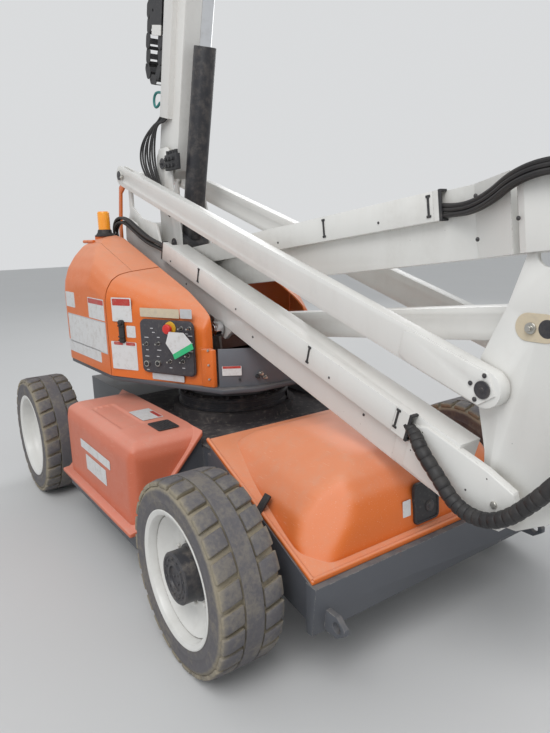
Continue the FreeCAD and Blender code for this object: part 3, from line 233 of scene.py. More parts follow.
def white_paint(name, colour, shade_and_grime=0.5, edge=0.0025):
    """Thick white enamel on welded steel: orange peel, streaky stains, painted shade in its corners, rubbed and
    chipped edges.
    """
    f = Finish(name, IOR=1.5)
    soft, rim = f.corners(edge)
    clouds = f.noise(1.7, 5.0, 0.6)
    streak = f.noise(3.0, 4.0, 0.6, f.stretched(2.2, 2.2, 0.5))
    film = f.fade(clouds * 0.5 + streak * 0.5, 0.46, 0.66) * 0.35
    # One mask for streaky stains from noise and for painted shade: ambient occlusion darkens corners and crevices.
    dirt_and_shade = (f.crannies(0.08) * 0.8 + film) * f.fade(f.noise(34.0, 6.0, 0.7), 0.3, 0.75, 0.35, 1.0) * shade_and_grime
    chips = f.fade(f.noise(95.0, 3.0, 0.6) + rim * 0.22, 0.78, 0.82)
    specks = f.fade(f.cells(26.0), 0.055, 0.03) * f.fade(f.noise(5.0), 0.5, 0.62)
    paint = f.blend(clouds, tone(*(c * 0.95 for c in colour)), tone(*(min(c * 1.04, 0.82) for c in colour)))
    # Lays the stains and the painted corner shade in one grey-brown.
    paint = f.blend(dirt_and_shade, paint, tone(0.30, 0.27, 0.22))
    paint = f.blend(specks * 0.5, paint, tone(0.12, 0.10, 0.09))
    f.lead(f.blend(chips * 0.8, paint, tone(0.11, 0.085, 0.075)), "Base Color")
    f.lead(0.30 + dirt_and_shade * 0.35 + f.noise(12.0) * 0.08 + chips * 0.3, "Roughness")
    f.bump(f.noise(420.0, 2.0) * 0.25 + f.noise(30.0, 2.0) * 0.35 - chips * 0.6, 0.0006, soft)
    return f.material


def rubber_tyre():
    """Solid tyre rubber: grey lugs, tan dust in the grooves and on the shoulders."""
    f = Finish("tyre_rubber", IOR=1.45)
    soft, rim = f.corners(0.003)
    grain = f.noise(60.0, 6.0, 0.7)
    patch = f.noise(7.0, 5.0, 0.65)
    place = f.node("ShaderNodeSeparateXYZ", sockets={0: f.space})
    ahead = f.node("ShaderNodeMath", {"operation": "ABSOLUTE"}, {0: place}) - HALF_BASE
    tall = f.height() - AXLE_HEIGHT
    reach = (ahead * ahead + tall * tall) ** 0.5
    floor = f.fade(reach, 0.3528, 0.3440) * f.fade(reach, 0.314, 0.328)
    packed = floor * f.fade(grain * 0.5 + patch * 0.5, 0.30, 0.52, 0.45, 1.0)
    dust = packed + f.fade(patch * 0.6 + grain * 0.4, 0.44, 0.62) * 0.45
    rubber = f.blend(grain, tone(0.098, 0.093, 0.101), tone(0.150, 0.143, 0.150))
    rubber = f.blend(rim * 0.35, rubber, tone(0.22, 0.205, 0.19))
    f.lead(f.blend(dust * 0.85, rubber, tone(0.300, 0.262, 0.195)), "Base Color")
    f.lead(0.74 + grain * 0.18, "Roughness")
    f.bump(grain * 0.6 + f.noise(240.0, 3.0) * 0.3 + f.cells(90.0) * 0.2, 0.0014, soft)
    return f.material


def moulded_orange(name, colour, sheen, chalk_and_sheen, coat):
    """Moulded plastic cover: gloss with ripples, paler where it looks up (partly sun fade, partly a painted
    sheen), painted shade in its crevices, dust and fine scratches.
    """
    f = Finish(name, IOR=1.45, Coat_Roughness=0.3, Specular_IOR_Level=0.35)
    soft, rim = f.corners(0.004)
    up = f.upward(0.15, 0.95)
    cloud = f.noise(2.4, 5.0, 0.6)
    dust = f.fade(f.noise(16.0, 6.0, 0.75), 0.42, 0.78)
    # Upward faces pale towards the sheen tone: partly real sun fade, partly a painted sheen.
    fade_and_sheen = (up * (0.55 + cloud * 0.6)) * chalk_and_sheen
    scratch = f.fade(f.noise(22.0, 3.0, 0.5, f.stretched(0.5, 9.0, 14.0, (0.3, 0.2, 0.5))), 0.665, 0.69)
    shell = f.blend(cloud, tone(*(c * 0.90 for c in colour)), tone(*(c * 1.06 for c in colour)))
    shell = f.blend(fade_and_sheen, shell, tone(*sheen))
    shell = f.blend(dust * up * 0.22, shell, tone(0.55, 0.47, 0.40))
    # Painted shade: ambient occlusion darkens crevices and the undersides of lips to deep brown.
    shell = f.blend(f.crannies(0.05) * 0.45, shell, tone(0.16, 0.07, 0.04))
    f.lead(f.blend(scratch * 0.35 + rim * 0.18, shell, tone(0.80, 0.52, 0.40)), "Base Color")
    f.lead(0.36 + fade_and_sheen * 0.2 + dust * 0.14 + scratch * 0.2, "Roughness")
    f.lead(coat * (1.0 - fade_and_sheen * 0.6 - dust * 0.25), "Coat Weight")
    f.bump(f.noise(9.0, 2.0) * 0.8 + f.noise(160.0, 2.0) * 0.05 - scratch * 0.08, 0.0016, soft)
    return f.material


def chassis_grey(name, colour, wear=1.0):
    """Blue-grey machine enamel with dust on top, scuffs and bare steel at the corners."""
    f = Finish(name, IOR=1.5)
    soft, rim = f.corners(0.003)
    cloud = f.noise(3.0, 5.0, 0.6)
    dust = (f.upward(0.2, 0.9) * 0.5 + f.crannies(0.06) * 0.4) * f.fade(f.noise(14.0, 6.0, 0.7), 0.25, 0.7)
    chips = f.fade(f.noise(70.0, 3.0, 0.6) + rim * 0.25, 0.74, 0.79) * wear
    rust = f.fade(f.noise(11.0, 4.0, 0.6) + chips * 0.2, 0.66, 0.75) * 0.5 * wear
    paint = f.blend(cloud, tone(*(c * 0.82 for c in colour)), tone(*(c * 1.18 for c in colour)))
    paint = f.blend(dust * 0.75, paint, tone(0.29, 0.25, 0.215))
    paint = f.blend(rust, paint, tone(0.21, 0.095, 0.045))
    f.lead(f.blend(chips, paint, tone(0.34, 0.32, 0.30)), "Base Color")
    f.lead(0.42 + dust * 0.35 + cloud * 0.12, "Roughness")
    f.lead(chips * 0.6, "Metallic")
    f.bump(f.noise(150.0, 2.0) * 0.3 + cloud * 0.3 - chips * 0.5, 0.0008, soft)
    return f.material


def deck_grip():
    """Dark deck sheet with a gritty coat that grips, walked pale along the middle."""
    f = Finish("deck_grip", IOR=1.45)
    soft, rim = f.corners(0.002)
    grit = f.cells(420.0)
    walked = f.fade(f.noise(5.0, 5.0, 0.7), 0.4, 0.7)
    base = f.blend(walked * 0.6 + rim * 0.3, tone(0.038, 0.033, 0.036), tone(0.15, 0.135, 0.125))
    f.lead(f.blend(f.fade(f.noise(40.0, 6.0), 0.55, 0.75) * 0.5, base, tone(0.24, 0.20, 0.17)), "Base Color")
    f.lead(0.78 + grit * 0.2, "Roughness")
    f.bump(grit * 0.8 + f.noise(120.0) * 0.3, 0.0012, soft)
    return f.material


def worn_steel(name, colour, shine, rust=0.5):
    """Bare or zinced steel: turned marks, dull oxide and rust bloom."""
    f = Finish(name, Metallic=1.0)
    soft, rim = f.corners(0.0015)
    cloud = f.noise(18.0, 6.0, 0.65)
    bloom = f.fade(f.noise(30.0, 5.0, 0.7) + f.crannies(0.02) * 0.15, 0.56, 0.72) * rust
    metal = f.blend(cloud, tone(*(c * 0.75 for c in colour)), tone(*(min(c * 1.2, 0.9) for c in colour)))
    metal = f.blend(rim * 0.4, metal, tone(0.75, 0.74, 0.72))
    f.lead(f.blend(bloom, metal, tone(0.23, 0.11, 0.06)), "Base Color")
    f.lead(shine + cloud * 0.2 + bloom * 0.4, "Roughness")
    f.bump(f.noise(300.0, 3.0) * 0.4 + cloud * 0.4, 0.0005, soft)
    return f.material


def dark_paint(name, colour, gloss=0.38):
    """Black or dark enamel on cylinders, axles and brackets, dusty and rubbed at its edges."""
    f = Finish(name, IOR=1.5)
    soft, rim = f.corners(0.002)
    cloud = f.noise(8.0, 5.0, 0.6)
    dust = f.fade(f.noise(22.0, 6.0, 0.75), 0.42, 0.72) * (0.25 + f.upward() * 0.5)
    paint = f.blend(cloud, tone(*(c * 0.8 for c in colour)), tone(*(c * 1.3 for c in colour)))
    paint = f.blend(rim * 0.45, paint, tone(0.23, 0.22, 0.21))
    f.lead(f.blend(dust, paint, tone(0.24, 0.205, 0.175)), "Base Color")
    f.lead(gloss + dust * 0.4 + cloud * 0.1, "Roughness")
    f.bump(f.noise(170.0, 2.0) * 0.3 + cloud * 0.2, 0.0006, soft)
    return f.material


def black_rubber(name="hose_rubber", colour=(0.022, 0.021, 0.022), gloss=0.5):
    """Hose and latch rubber: near black, with dull bloom and wiped highlights."""
    f = Finish(name, IOR=1.48)
    bloom = f.fade(f.noise(14.0, 5.0, 0.7), 0.4, 0.75)
    f.lead(f.blend(bloom * 0.5, tone(*colour), tone(0.085, 0.078, 0.072)), "Base Color")
    f.lead(gloss + bloom * 0.28, "Roughness")
    f.bump(f.noise(260.0, 3.0) * 0.4 + f.noise(40.0) * 0.3, 0.0005)
    return f.material


def chrome_rod():
    """Hard chrome on a piston rod, with an oil film and fine dust near its seal."""
    f = Finish("rod_chrome", Metallic=1.0)
    film = f.fade(f.noise(10.0, 5.0, 0.7), 0.45, 0.75)
    f.lead(f.blend(film * 0.3, tone(0.66, 0.67, 0.69), tone(0.34, 0.32, 0.29)), "Base Color")
    f.lead(0.08 + film * 0.22, "Roughness")
    f.bump(f.noise(500.0, 2.0), 0.0001)
    return f.material


def amber_lens():
    """Ribbed amber plastic lens with a faint painted glow standing in for light that passes through it."""
    f = Finish("amber_lens", IOR=1.49, Coat_Weight=0.6, Coat_Roughness=0.08)
    depth = f.noise(20.0, 3.0)
    glow = f.blend(depth, tone(0.80, 0.24, 0.012), tone(0.95, 0.42, 0.03))
    f.lead(glow, "Base Color")
    f.lead(0.2 + depth * 0.1, "Roughness")
    # Painted glow: a weak emission in the lens's own colour.
    f.shader.inputs["Emission Strength"].default_value = 0.12
    f.lead(glow, "Emission Color")
    f.bump(f.noise(60.0, 2.0), 0.0004)
    return f.material


def plain_plastic(name, colour, gloss=0.45, mottle=0.12):
    """Small moulded parts: slightly mottled, with dust and rubbed edges."""
    f = Finish(name, IOR=1.48)
    soft, rim = f.corners(0.0012)
    cloud = f.noise(40.0, 5.0, 0.6)
    body = f.blend(cloud, tone(*(c * (1 - mottle) for c in colour)),
                   tone(*(min(c * (1 + mottle), 0.95) for c in colour)))
    dust = f.fade(f.noise(70.0, 6.0, 0.7), 0.5, 0.8) * 0.3
    f.lead(f.blend(dust * 0.6 + rim * 0.1, body, tone(0.42, 0.38, 0.33)), "Base Color")
    f.lead(gloss + dust * 0.4 + cloud * 0.08, "Roughness")
    f.bump(f.noise(350.0, 2.0) * 0.5 + cloud * 0.2, 0.0003, soft)
    return f.material


def blank_film(name, colour, scuffs=0.4):
    """Vinyl sticker with nothing printed on it: lifted dirt, scuffs and a soft gloss."""
    f = Finish(name, IOR=1.46)
    smear = f.fade(f.noise(28.0, 6.0, 0.75), 0.45, 0.72) * scuffs
    film = f.blend(f.noise(6.0), tone(*(c * 0.93 for c in colour)),
                   tone(*(min(c * 1.05, 0.85) for c in colour)))
    f.lead(f.blend(smear, film, tone(0.40, 0.35, 0.30)), "Base Color")
    f.lead(0.34 + smear * 0.4, "Roughness")
    f.bump(f.noise(90.0, 3.0), 0.0003)
    return f.material


def studio_floor(colour):
    """Smooth pale floor with the faintest cloudiness."""
    f = Finish("studio_floor", Roughness=0.75)
    cloud = f.noise(0.7, 3.0)
    dark, light = tone(*(c * 0.97 for c in colour)), tone(*(min(c * 1.02, 0.9) for c in colour))
    f.lead(f.blend(cloud, dark, light), "Base Color")
    return f.material


# Modelling

def alone():
    """Leaves nothing selected and no piece in edit mode."""
    if bpy.context.object and bpy.context.object.mode != "OBJECT":
        bpy.ops.object.mode_set(mode="OBJECT")
    bpy.ops.object.select_all(action="DESELECT")


def choose(*things):
    alone()
    for thing in things:
        thing.select_set(True)
    bpy.context.view_layer.objects.active = things[-1]


def settle(thing):
    """Puts a piece's place, turn and size into its mesh."""
    choose(thing)
    bpy.ops.object.transform_apply(location=True, rotation=True, scale=True)
    return thing


def modify(thing, kind, **settings):
    """Adds one modifier and applies it."""
    choose(thing)
    modifier = thing.modifiers.new(kind.title(), kind)
    for word, value in settings.items():
        setattr(modifier, word, value)
    bpy.ops.object.modifier_apply(modifier=modifier.name)
    return thing


def smooth(thing, angle=35):
    choose(thing)
    bpy.ops.object.shade_smooth_by_angle(angle=math.radians(angle))
    return thing


def soften(thing, width, steps=2, angle=30):
    """Rounds the edges of a piece that turn by more than an angle."""
    modify(thing, "BEVEL", width=width, segments=steps, limit_method="ANGLE", angle_limit=math.radians(angle))
    return smooth(thing, max(angle, 35))


class Editing:
    """Opens a piece in edit mode with nothing selected, and leaves it again."""

    def __init__(self, thing, part="FACE"):
        self.thing = thing
        self.part = part

    def __enter__(self):
        choose(self.thing)
        bpy.ops.object.mode_set(mode="EDIT")
        bpy.ops.mesh.select_mode(type=self.part)
        bpy.ops.mesh.select_all(action="DESELECT")
        return self

    def pick(self, test):
        """Selects the faces or edges whose middle and normal or direction pass a test."""
        mesh = bmesh.from_edit_mesh(self.thing.data)
        bpy.ops.mesh.select_all(action="DESELECT")
        found = 0
        if self.part == "FACE":
            for face in mesh.faces:
                if test(face.calc_center_median(), face.normal):
                    face.select_set(True)
                    found += 1
        else:
            for edge in mesh.edges:
                first, second = (corner.co for corner in edge.verts)
                if test((first + second) / 2, (second - first).normalized()):
                    edge.select_set(True)
                    found += 1
        bmesh.update_edit_mesh(self.thing.data)
        if not found:
            raise RuntimeError("nothing to shape on " + self.thing.name)

    def everything(self):
        bpy.ops.mesh.select_all(action="SELECT")

    def __exit__(self, kind, value, trace):
        bpy.ops.object.mode_set(mode="OBJECT")


def block(name, low, high):
    """Starts a piece as a cuboid between two corners."""
    low, high = Vector(low), Vector(high)
    alone()
    bpy.ops.mesh.primitive_cube_add(size=1, location=(low + high) / 2)
    thing = bpy.context.object
    thing.name = name
    thing.scale = high - low
    return settle(thing)


FACINGS = {"X": (0, math.pi / 2, 0), "Y": (math.pi / 2, 0, 0), "Z": (0, 0, 0)}


def drum(name, radius, depth, at, facing="Y", corners=32, top=None):
    """Starts a piece as a drum or a cone about one axis."""
    alone()
    bpy.ops.mesh.primitive_cone_add(vertices=corners, radius1=radius, radius2=radius if top is None else top,
                                    depth=depth, location=at, rotation=FACINGS[facing])
    thing = bpy.context.object
    thing.name = name
    return settle(thing)


def outline(name, points, plane, low, high):
    """A plate with a drawn outline: a corner is laid and extruded round, filled, then given its thickness."""
    alone()
    bpy.ops.mesh.primitive_plane_add(size=0.01)
    thing = bpy.context.object
    thing.name = name
    mesh = bmesh.new()
    spots = {"XZ": lambda u, v: (u, low, v), "XY": lambda u, v: (u, v, low),
             "YZ": lambda u, v: (low, u, v)}[plane]
    mesh.faces.new([mesh.verts.new(spots(u, v)) for u, v in points])
    mesh.to_mesh(thing.data)
    mesh.free()
    push = {"XZ": (0, high - low, 0), "XY": (0, 0, high - low), "YZ": (high - low, 0, 0)}[plane]
    with Editing(thing) as edit:
        edit.everything()
        bpy.ops.mesh.extrude_region_move(TRANSFORM_OT_translate={"value": push})
        edit.everything()
        bpy.ops.mesh.normals_make_consistent(inside=False)
    return thing


def joined(name, *things):
    choose(*things)
    if len(things) > 1:
        bpy.ops.object.join()
    thing = bpy.context.object
    thing.name = name
    return thing


def laid(thing, lay):
    """Moves a piece from the level drawing to its place on a boom."""
    thing.matrix_world = lay.matrix @ thing.matrix_world
    return settle(thing)


def copied(thing, name, matrix):
    """A copy with a mesh of its own, moved by a matrix."""
    choose(thing)
    bpy.ops.object.duplicate(linked=False)
    twin = bpy.context.object
    twin.name = name
    twin.matrix_world = matrix @ twin.matrix_world
    settle(twin)
    if matrix.determinant() < 0:
        with Editing(twin) as edit:
            edit.everything()
            bpy.ops.mesh.normals_make_consistent(inside=False)
    return twin


MIRROR = Matrix.Scale(-1, 4, Vector((0, 1, 0)))


def sliced(thing, *planes):
    """Cuts off what lies beyond each plane and closes the cut."""
    with Editing(thing) as edit:
        for point, normal in planes:
            edit.everything()
            bpy.ops.mesh.bisect(plane_co=point, plane_no=normal, use_fill=True, clear_outer=True)
    return thing


def settle_mirrored(thing):
    """Turns a right-hand piece into its left-hand twin."""
    twin_piece = copied(thing, thing.name, MIRROR)
    choose(thing)
    bpy.ops.object.delete()
    return twin_piece


def strung(name, points, radius, smoothness=6, sides=12, sizes=None):
    """The mesh of a hose along its points, not yet given to a body."""
    alone()
    curve = bpy.data.curves.new(name, "CURVE")
    curve.dimensions = "3D"
    line = curve.splines.new("NURBS")
    line.points.add(len(points) - 1)
    for spot, point, size in zip(line.points, points, sizes or [1.0] * len(points)):
        spot.co = (*point, 1.0)
        spot.radius = size
    line.order_u = 3
    line.use_endpoint_u = True
    line.resolution_u = smoothness
    curve.bevel_depth = radius
    curve.bevel_resolution = max(1, sides // 4 - 1)
    curve.use_fill_caps = True
    thing = bpy.data.objects.new(name, curve)
    bpy.context.scene.collection.objects.link(thing)
    choose(thing)
    bpy.ops.object.convert(target="MESH")
    return smooth(bpy.context.object, 40)


def hose(name, points, radius, finish, body, smoothness=6, sides=12):
    """A hose that is held along its run by one body."""
    return keep(strung(name, points, radius, smoothness, sides), finish, body)


def keep(thing, finish, body, *nodes):
    """Gives a finished piece its material, its body, and the solids that it stands for."""
    thing.data.materials.clear()
    thing.data.materials.append(FINISHES[finish])
    settle(thing)
    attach(thing, body)
    if nodes:
        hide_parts(*nodes)
    return thing


FINISHES = {}


def carved(name, low, high, cuts, heart):
    """A block cut down by outlines, each stretched along one way; the heart lies on the side that stays."""
    thing = block(name, low, high)
    heart = Vector(heart)
    with Editing(thing) as edit:
        for along, spots in cuts:
            for first, second in zip(spots, spots[1:]):
                normal = (Vector(second) - Vector(first)).cross(Vector(along)).normalized()
                if (Vector(first) - heart).dot(normal) < 0:
                    normal.negate()
                edit.everything()
                bpy.ops.mesh.bisect(plane_co=first, plane_no=normal, use_fill=True, clear_outer=True)
    return thing


def moulded(thing, grain, melt):
    """Rounds a carved block all over, as moulded plastic is."""
    modify(thing, "REMESH", mode="VOXEL", voxel_size=grain)
    modify(thing, "SMOOTH", factor=0.5, iterations=melt)
    return thing


def opened(thing, *planes):
    """Cuts off what lies beyond each plane and leaves the cut open."""
    with Editing(thing) as edit:
        for point, normal in planes:
            edit.everything()
            bpy.ops.mesh.bisect(plane_co=point, plane_no=normal, clear_outer=True)
    return thing


def without(thing, test):
    """Takes away the faces whose middle passes a test."""
    with Editing(thing) as edit:
        edit.pick(test)
        bpy.ops.mesh.delete(type="FACE")
    return thing


def walled(thing, thick):
    """Gives an open skin its wall, inwards."""
    modify(thing, "SOLIDIFY", thickness=thick, offset=-1.0)
    return smooth(thing, 40)


def twin(thing, name):
    return copied(thing, name, Matrix.Identity(4))


def lathe(name, profile, middle=(0, 0, 0), steps=64):
    """A turned piece about the Y axis from a table of radius and place along the axis."""
    alone()
    bpy.ops.mesh.primitive_plane_add(size=0.01)
    thing = bpy.context.object
    thing.name = name
    mesh = bmesh.new()
    line = [mesh.verts.new((radius, along, 0)) for radius, along in profile]
    for first, second in zip(line, line[1:]):
        mesh.edges.new((first, second))
    mesh.to_mesh(thing.data)
    mesh.free()
    with Editing(thing, "VERT") as edit:
        edit.everything()
        bpy.ops.mesh.spin(steps=steps, angle=math.tau, center=(0, 0, 0), axis=(0, 1, 0))
        edit.everything()
        bpy.ops.mesh.remove_doubles(threshold=0.0002)
        bpy.ops.mesh.normals_make_consistent(inside=False)
    thing.matrix_world = Matrix.Translation(middle)
    settle(thing)
    return smooth(thing, 32)


def rounded(width, height, radius, corners=4):
    """The outline of a plate with round corners, about its middle."""
    points = []
    for index, (side, end) in enumerate(((1, 1), (-1, 1), (-1, -1), (1, -1))):
        for step in range(corners + 1):
            turn = math.radians(90 * index + 90 * step / corners)
            points.append((side * (width / 2 - radius) + radius * math.cos(turn),
                           end * (height / 2 - radius) + radius * math.sin(turn)))
    return points


class Face:
    """A flat side of the machine that plates are laid on: along it, up it and out from it."""

    def __init__(self, start, along, up=(0, 0, 1)):
        self.start, self.along, self.up = Vector(start), Vector(along).normalized(), Vector(up).normalized()
        self.out = self.along.cross(self.up)

    def matrix(self, along=0.0, up=0.0, out=0.0, turn=0.0):
        base = Matrix((self.along, self.up, self.out)).transposed().to_4x4()
        spot = self.start + self.along * along + self.up * up + self.out * out
        return Matrix.Translation(spot) @ base @ Matrix.Rotation(turn, 4, "Z")

    def plate(self, name, along, up, width, height, thick, radius=0.006, out=0.0, turn=0.0):
        """A plate with round corners that lies on the side."""
        thing = outline(name, rounded(width, height, radius), "XY", 0, thick)
        thing.matrix_world = self.matrix(along, up, out, turn)
        return settle(thing)

    def knob(self, name, along, up, radius, tall, out=0.0, top=None, corners=20):
        """A round piece that stands out from the side."""
        thing = drum(name, radius, tall, (0, 0, tall / 2), "Z", corners, top)
        thing.matrix_world = self.matrix(along, up, out)
        return settle(thing)


def refined(node, finish, body, width=0.003, steps=2, angle=28, tail="_dressed"):
    """A copy of a solid's mesh, merged, with its sharp edges rounded; it stands for the solid."""
    thing = bpy.data.objects.new(node + tail, NODES[node].data.copy())
    bpy.context.scene.collection.objects.link(thing)
    with Editing(thing, "VERT") as edit:
        edit.everything()
        bpy.ops.mesh.remove_doubles(threshold=0.0001)
        edit.everything()
        bpy.ops.mesh.dissolve_limited(angle_limit=math.radians(0.5))
    soften(thing, width, steps, angle)
    return keep(thing, finish, body, node)


def mix_finishes(look):
    """Makes every material once, from the colours in the panel."""
    white = tuple(look.boom_white)
    pale_grey = tuple(c * 1.5 for c in look.chassis_grey)
    recipes = {
        "boom_white": ("white_paint", lambda: white_paint("boom_white", white)),
        # Rims: a touch darker in colour, with stronger stains and painted corner shade.
        "rim_white": ("white_paint", lambda: white_paint("rim_white", tuple(c * 0.97 for c in white), 0.85)),
        "tyre": ("tyre", rubber_tyre),
        # In each moulded_orange recipe, the tone and the amount after the colour set the paler upward faces:
        # partly sun fade, partly a painted sheen.
        "hood_orange": ("orange_shell", lambda: moulded_orange("hood_orange", tuple(look.hood_orange),
                                                               (0.80, 0.37, 0.23), 0.72, 0.18)),
        "cover_faded": ("faded_shell", lambda: moulded_orange("cover_faded", tuple(look.cover_faded),
                                                              (0.76, 0.33, 0.25), 0.75, 0.10)),
        "chassis_grey": ("grey_paint", lambda: chassis_grey("chassis_grey", tuple(look.chassis_grey))),
        "sheet_grey": ("grey_paint", lambda: chassis_grey("sheet_grey", pale_grey, 0.5)),
        "deck": ("dark_paint", deck_grip),
        "axle_black": ("dark_paint", lambda: dark_paint("axle_black", (0.030, 0.030, 0.036))),
        "cylinder_black": ("dark_paint", lambda: dark_paint("cylinder_black", (0.020, 0.020, 0.024), 0.3)),
        "steel": ("steel", lambda: worn_steel("bare_steel", (0.42, 0.41, 0.40), 0.32)),
        "zinc": ("steel", lambda: worn_steel("zinc_bolt", (0.55, 0.54, 0.50), 0.25, 0.25)),
        "chrome": ("chrome", chrome_rod),
        "rubber": ("black_plastic", black_rubber),
        "black": ("black_plastic", lambda: plain_plastic("black_plastic", (0.028, 0.028, 0.031), 0.5)),
        "panel": ("black_plastic", lambda: plain_plastic("panel_black", (0.05, 0.047, 0.055), 0.38)),
        "amber": ("amber", amber_lens),
        # Rails: a weaker sun fade and painted sheen on their upward faces.
        "rail_orange": ("rail_paint", lambda: moulded_orange("rail_orange", tuple(look.hood_orange),
                                                             (0.76, 0.33, 0.16), 0.4, 0.3)),
        "red": ("orange_shell", lambda: plain_plastic("stop_red", (0.62, 0.03, 0.025), 0.3)),
        "yellow": ("orange_shell", lambda: plain_plastic("ring_yellow", (0.72, 0.42, 0.03), 0.4)),
        "teal": ("black_plastic", lambda: plain_plastic("hook_teal", (0.03, 0.20, 0.19), 0.4)),
        "label": ("white_paint", lambda: blank_film("blank_label", (0.70, 0.70, 0.70))),
        "label_grey": ("white_paint", lambda: blank_film("pale_label", (0.55, 0.56, 0.58))),
        "label_beige": ("white_paint", lambda: blank_film("beige_label", (0.62, 0.53, 0.39))),
        "label_red": ("orange_shell", lambda: blank_film("red_label", (0.50, 0.045, 0.035))),
        "tag_green": ("white_paint", lambda: blank_film("green_tag", (0.03, 0.50, 0.20), 0.15)),
    }
    for word, (slot, recipe) in recipes.items():
        FINISHES[word] = recipe()


# What the panel can change

class LookSizes(bpy.types.PropertyGroup):
    """Colours of the machine and of its studio."""
    boom_white: bpy.props.FloatVectorProperty(
        name="Boom white", description="Enamel of the booms, links and rims", subtype="COLOR",
        default=(0.760, 0.752, 0.725), min=0.0, max=1.0)
    hood_orange: bpy.props.FloatVectorProperty(
        name="Hood orange", subtype="COLOR",
        description="Gloss plastic of the hoods and the paint of the rails",
        default=(0.74, 0.165, 0.025), min=0.0, max=1.0)
    cover_faded: bpy.props.FloatVectorProperty(
        name="Faded cover", description="Sun-faded plastic of the battery covers", subtype="COLOR",
        default=(0.62, 0.16, 0.085), min=0.0, max=1.0)
    chassis_grey: bpy.props.FloatVectorProperty(
        name="Chassis grey", description="Blue-grey enamel of the chassis", subtype="COLOR",
        default=(0.085, 0.090, 0.103), min=0.0, max=1.0)
    floor_pale: bpy.props.FloatVectorProperty(
        name="Studio floor", description="Colour of the floor and the background", subtype="COLOR",
        default=(0.60, 0.60, 0.60), min=0.0, max=1.0)


class StageSizes(bpy.types.PropertyGroup):
    """The camera's place and the lamps."""
    eye: bpy.props.FloatVectorProperty(
        name="Eye", description="Where the camera stands", subtype="TRANSLATION", unit="LENGTH",
        default=(2.799, -1.655, 1.545))
    yaw: bpy.props.FloatProperty(
        name="Yaw", description="Heading of the camera from the machine's front", subtype="ANGLE",
        default=math.radians(145.306))
    pitch: bpy.props.FloatProperty(
        name="Pitch", description="How far the camera looks down", subtype="ANGLE",
        default=math.radians(12.651))
    roll: bpy.props.FloatProperty(
        name="Roll", description="Lean of the camera", subtype="ANGLE", default=math.radians(1.698))
    lens: bpy.props.FloatProperty(
        name="Lens", description="Focal length on a 36 mm frame", subtype="DISTANCE_CAMERA", default=29.74)
    key_power: bpy.props.FloatProperty(
        name="Key lamp", description="Power of the large soft lamp", unit="POWER", default=420.0)
    fill_power: bpy.props.FloatProperty(
        name="Fill lamp", description="Power of the lamp on the far side", unit="POWER", default=170.0)
    sky: bpy.props.FloatProperty(
        name="Sky", description="Strength of the even light from all round", default=0.62)


class DRESS_OT_stage(bpy.types.Operator):
    """Sets the camera at the photograph's angle, the pale floor and the soft lamps"""
    bl_idname = "dress.stage"
    bl_label = "Studio and camera"

    def execute(self, context):
        sizes, look = context.scene.stage_sizes, context.scene.look_sizes
        scene = context.scene
        ahead = Vector((math.cos(sizes.yaw) * math.cos(sizes.pitch),
                        math.sin(sizes.yaw) * math.cos(sizes.pitch),
                        -math.sin(sizes.pitch)))
        right = Vector((math.sin(sizes.yaw), -math.cos(sizes.yaw), 0))
        above = right.cross(ahead)
        lean = Matrix.Rotation(sizes.roll, 3, ahead)
        right, above = lean @ right, lean @ above
        data = bpy.data.cameras.new("photo_view")
        data.lens = sizes.lens
        data.sensor_width = 36.0
        eye = bpy.data.objects.new("photo_view", data)
        scene.collection.objects.link(eye)
        turn = Matrix((right, above, -ahead)).transposed().to_4x4()
        eye.matrix_world = Matrix.Translation(Vector(sizes.eye)) @ turn
        scene.camera = eye

        alone()
        bpy.ops.mesh.primitive_plane_add(size=60, location=(0, 0, -0.001))
        floor = context.object
        floor.name = "studio_floor"
        settle(floor)
        floor.data.materials.append(studio_floor(tuple(look.floor_pale)))

        for name, place, target, size, power in (
                ("key_lamp", (4.5, -4.5, 7.5), (0.2, 0.0, 1.2), 5.0, sizes.key_power),
                ("fill_lamp", (-4.5, 5.5, 6.0), (0.0, 0.0, 1.5), 5.0, sizes.fill_power)):
            lamp = bpy.data.lights.new(name, "AREA")
            lamp.size = size
            lamp.energy = power
            stand = bpy.data.objects.new(name, lamp)
            scene.collection.objects.link(stand)
            aim = (Vector(target) - Vector(place)).to_track_quat("-Z", "Y").to_matrix().to_4x4()
            stand.matrix_world = Matrix.Translation(place) @ aim

        world = bpy.data.worlds.new("studio_sky")
        scene.world = world
        world.use_nodes = True
        tree = world.node_tree
        tree.nodes.clear()
        seen = tree.nodes.new("ShaderNodeLightPath")
        lit, backdrop = tree.nodes.new("ShaderNodeBackground"), tree.nodes.new("ShaderNodeBackground")
        lit.inputs[0].default_value = (0.95, 0.98, 1.0, 1.0)
        lit.inputs[1].default_value = sizes.sky
        backdrop.inputs[0].default_value = (0.70, 0.71, 0.72, 1.0)
        backdrop.inputs[1].default_value = 1.0
        gate = tree.nodes.new("ShaderNodeMath")
        gate.operation = "MAXIMUM"
        either = tree.nodes.new("ShaderNodeMath")
        either.operation = "MAXIMUM"
        tree.links.new(seen.outputs["Is Camera Ray"], gate.inputs[0])
        tree.links.new(seen.outputs["Is Glossy Ray"], gate.inputs[1])
        tree.links.new(gate.outputs[0], either.inputs[0])
        tree.links.new(seen.outputs["Is Transmission Ray"], either.inputs[1])
        mix, out = tree.nodes.new("ShaderNodeMixShader"), tree.nodes.new("ShaderNodeOutputWorld")
        tree.links.new(either.outputs[0], mix.inputs[0])
        tree.links.new(lit.outputs[0], mix.inputs[1])
        tree.links.new(backdrop.outputs[0], mix.inputs[2])
        tree.links.new(mix.outputs[0], out.inputs[0])
        scene.view_settings.view_transform = "Standard"
        return {"FINISHED"}


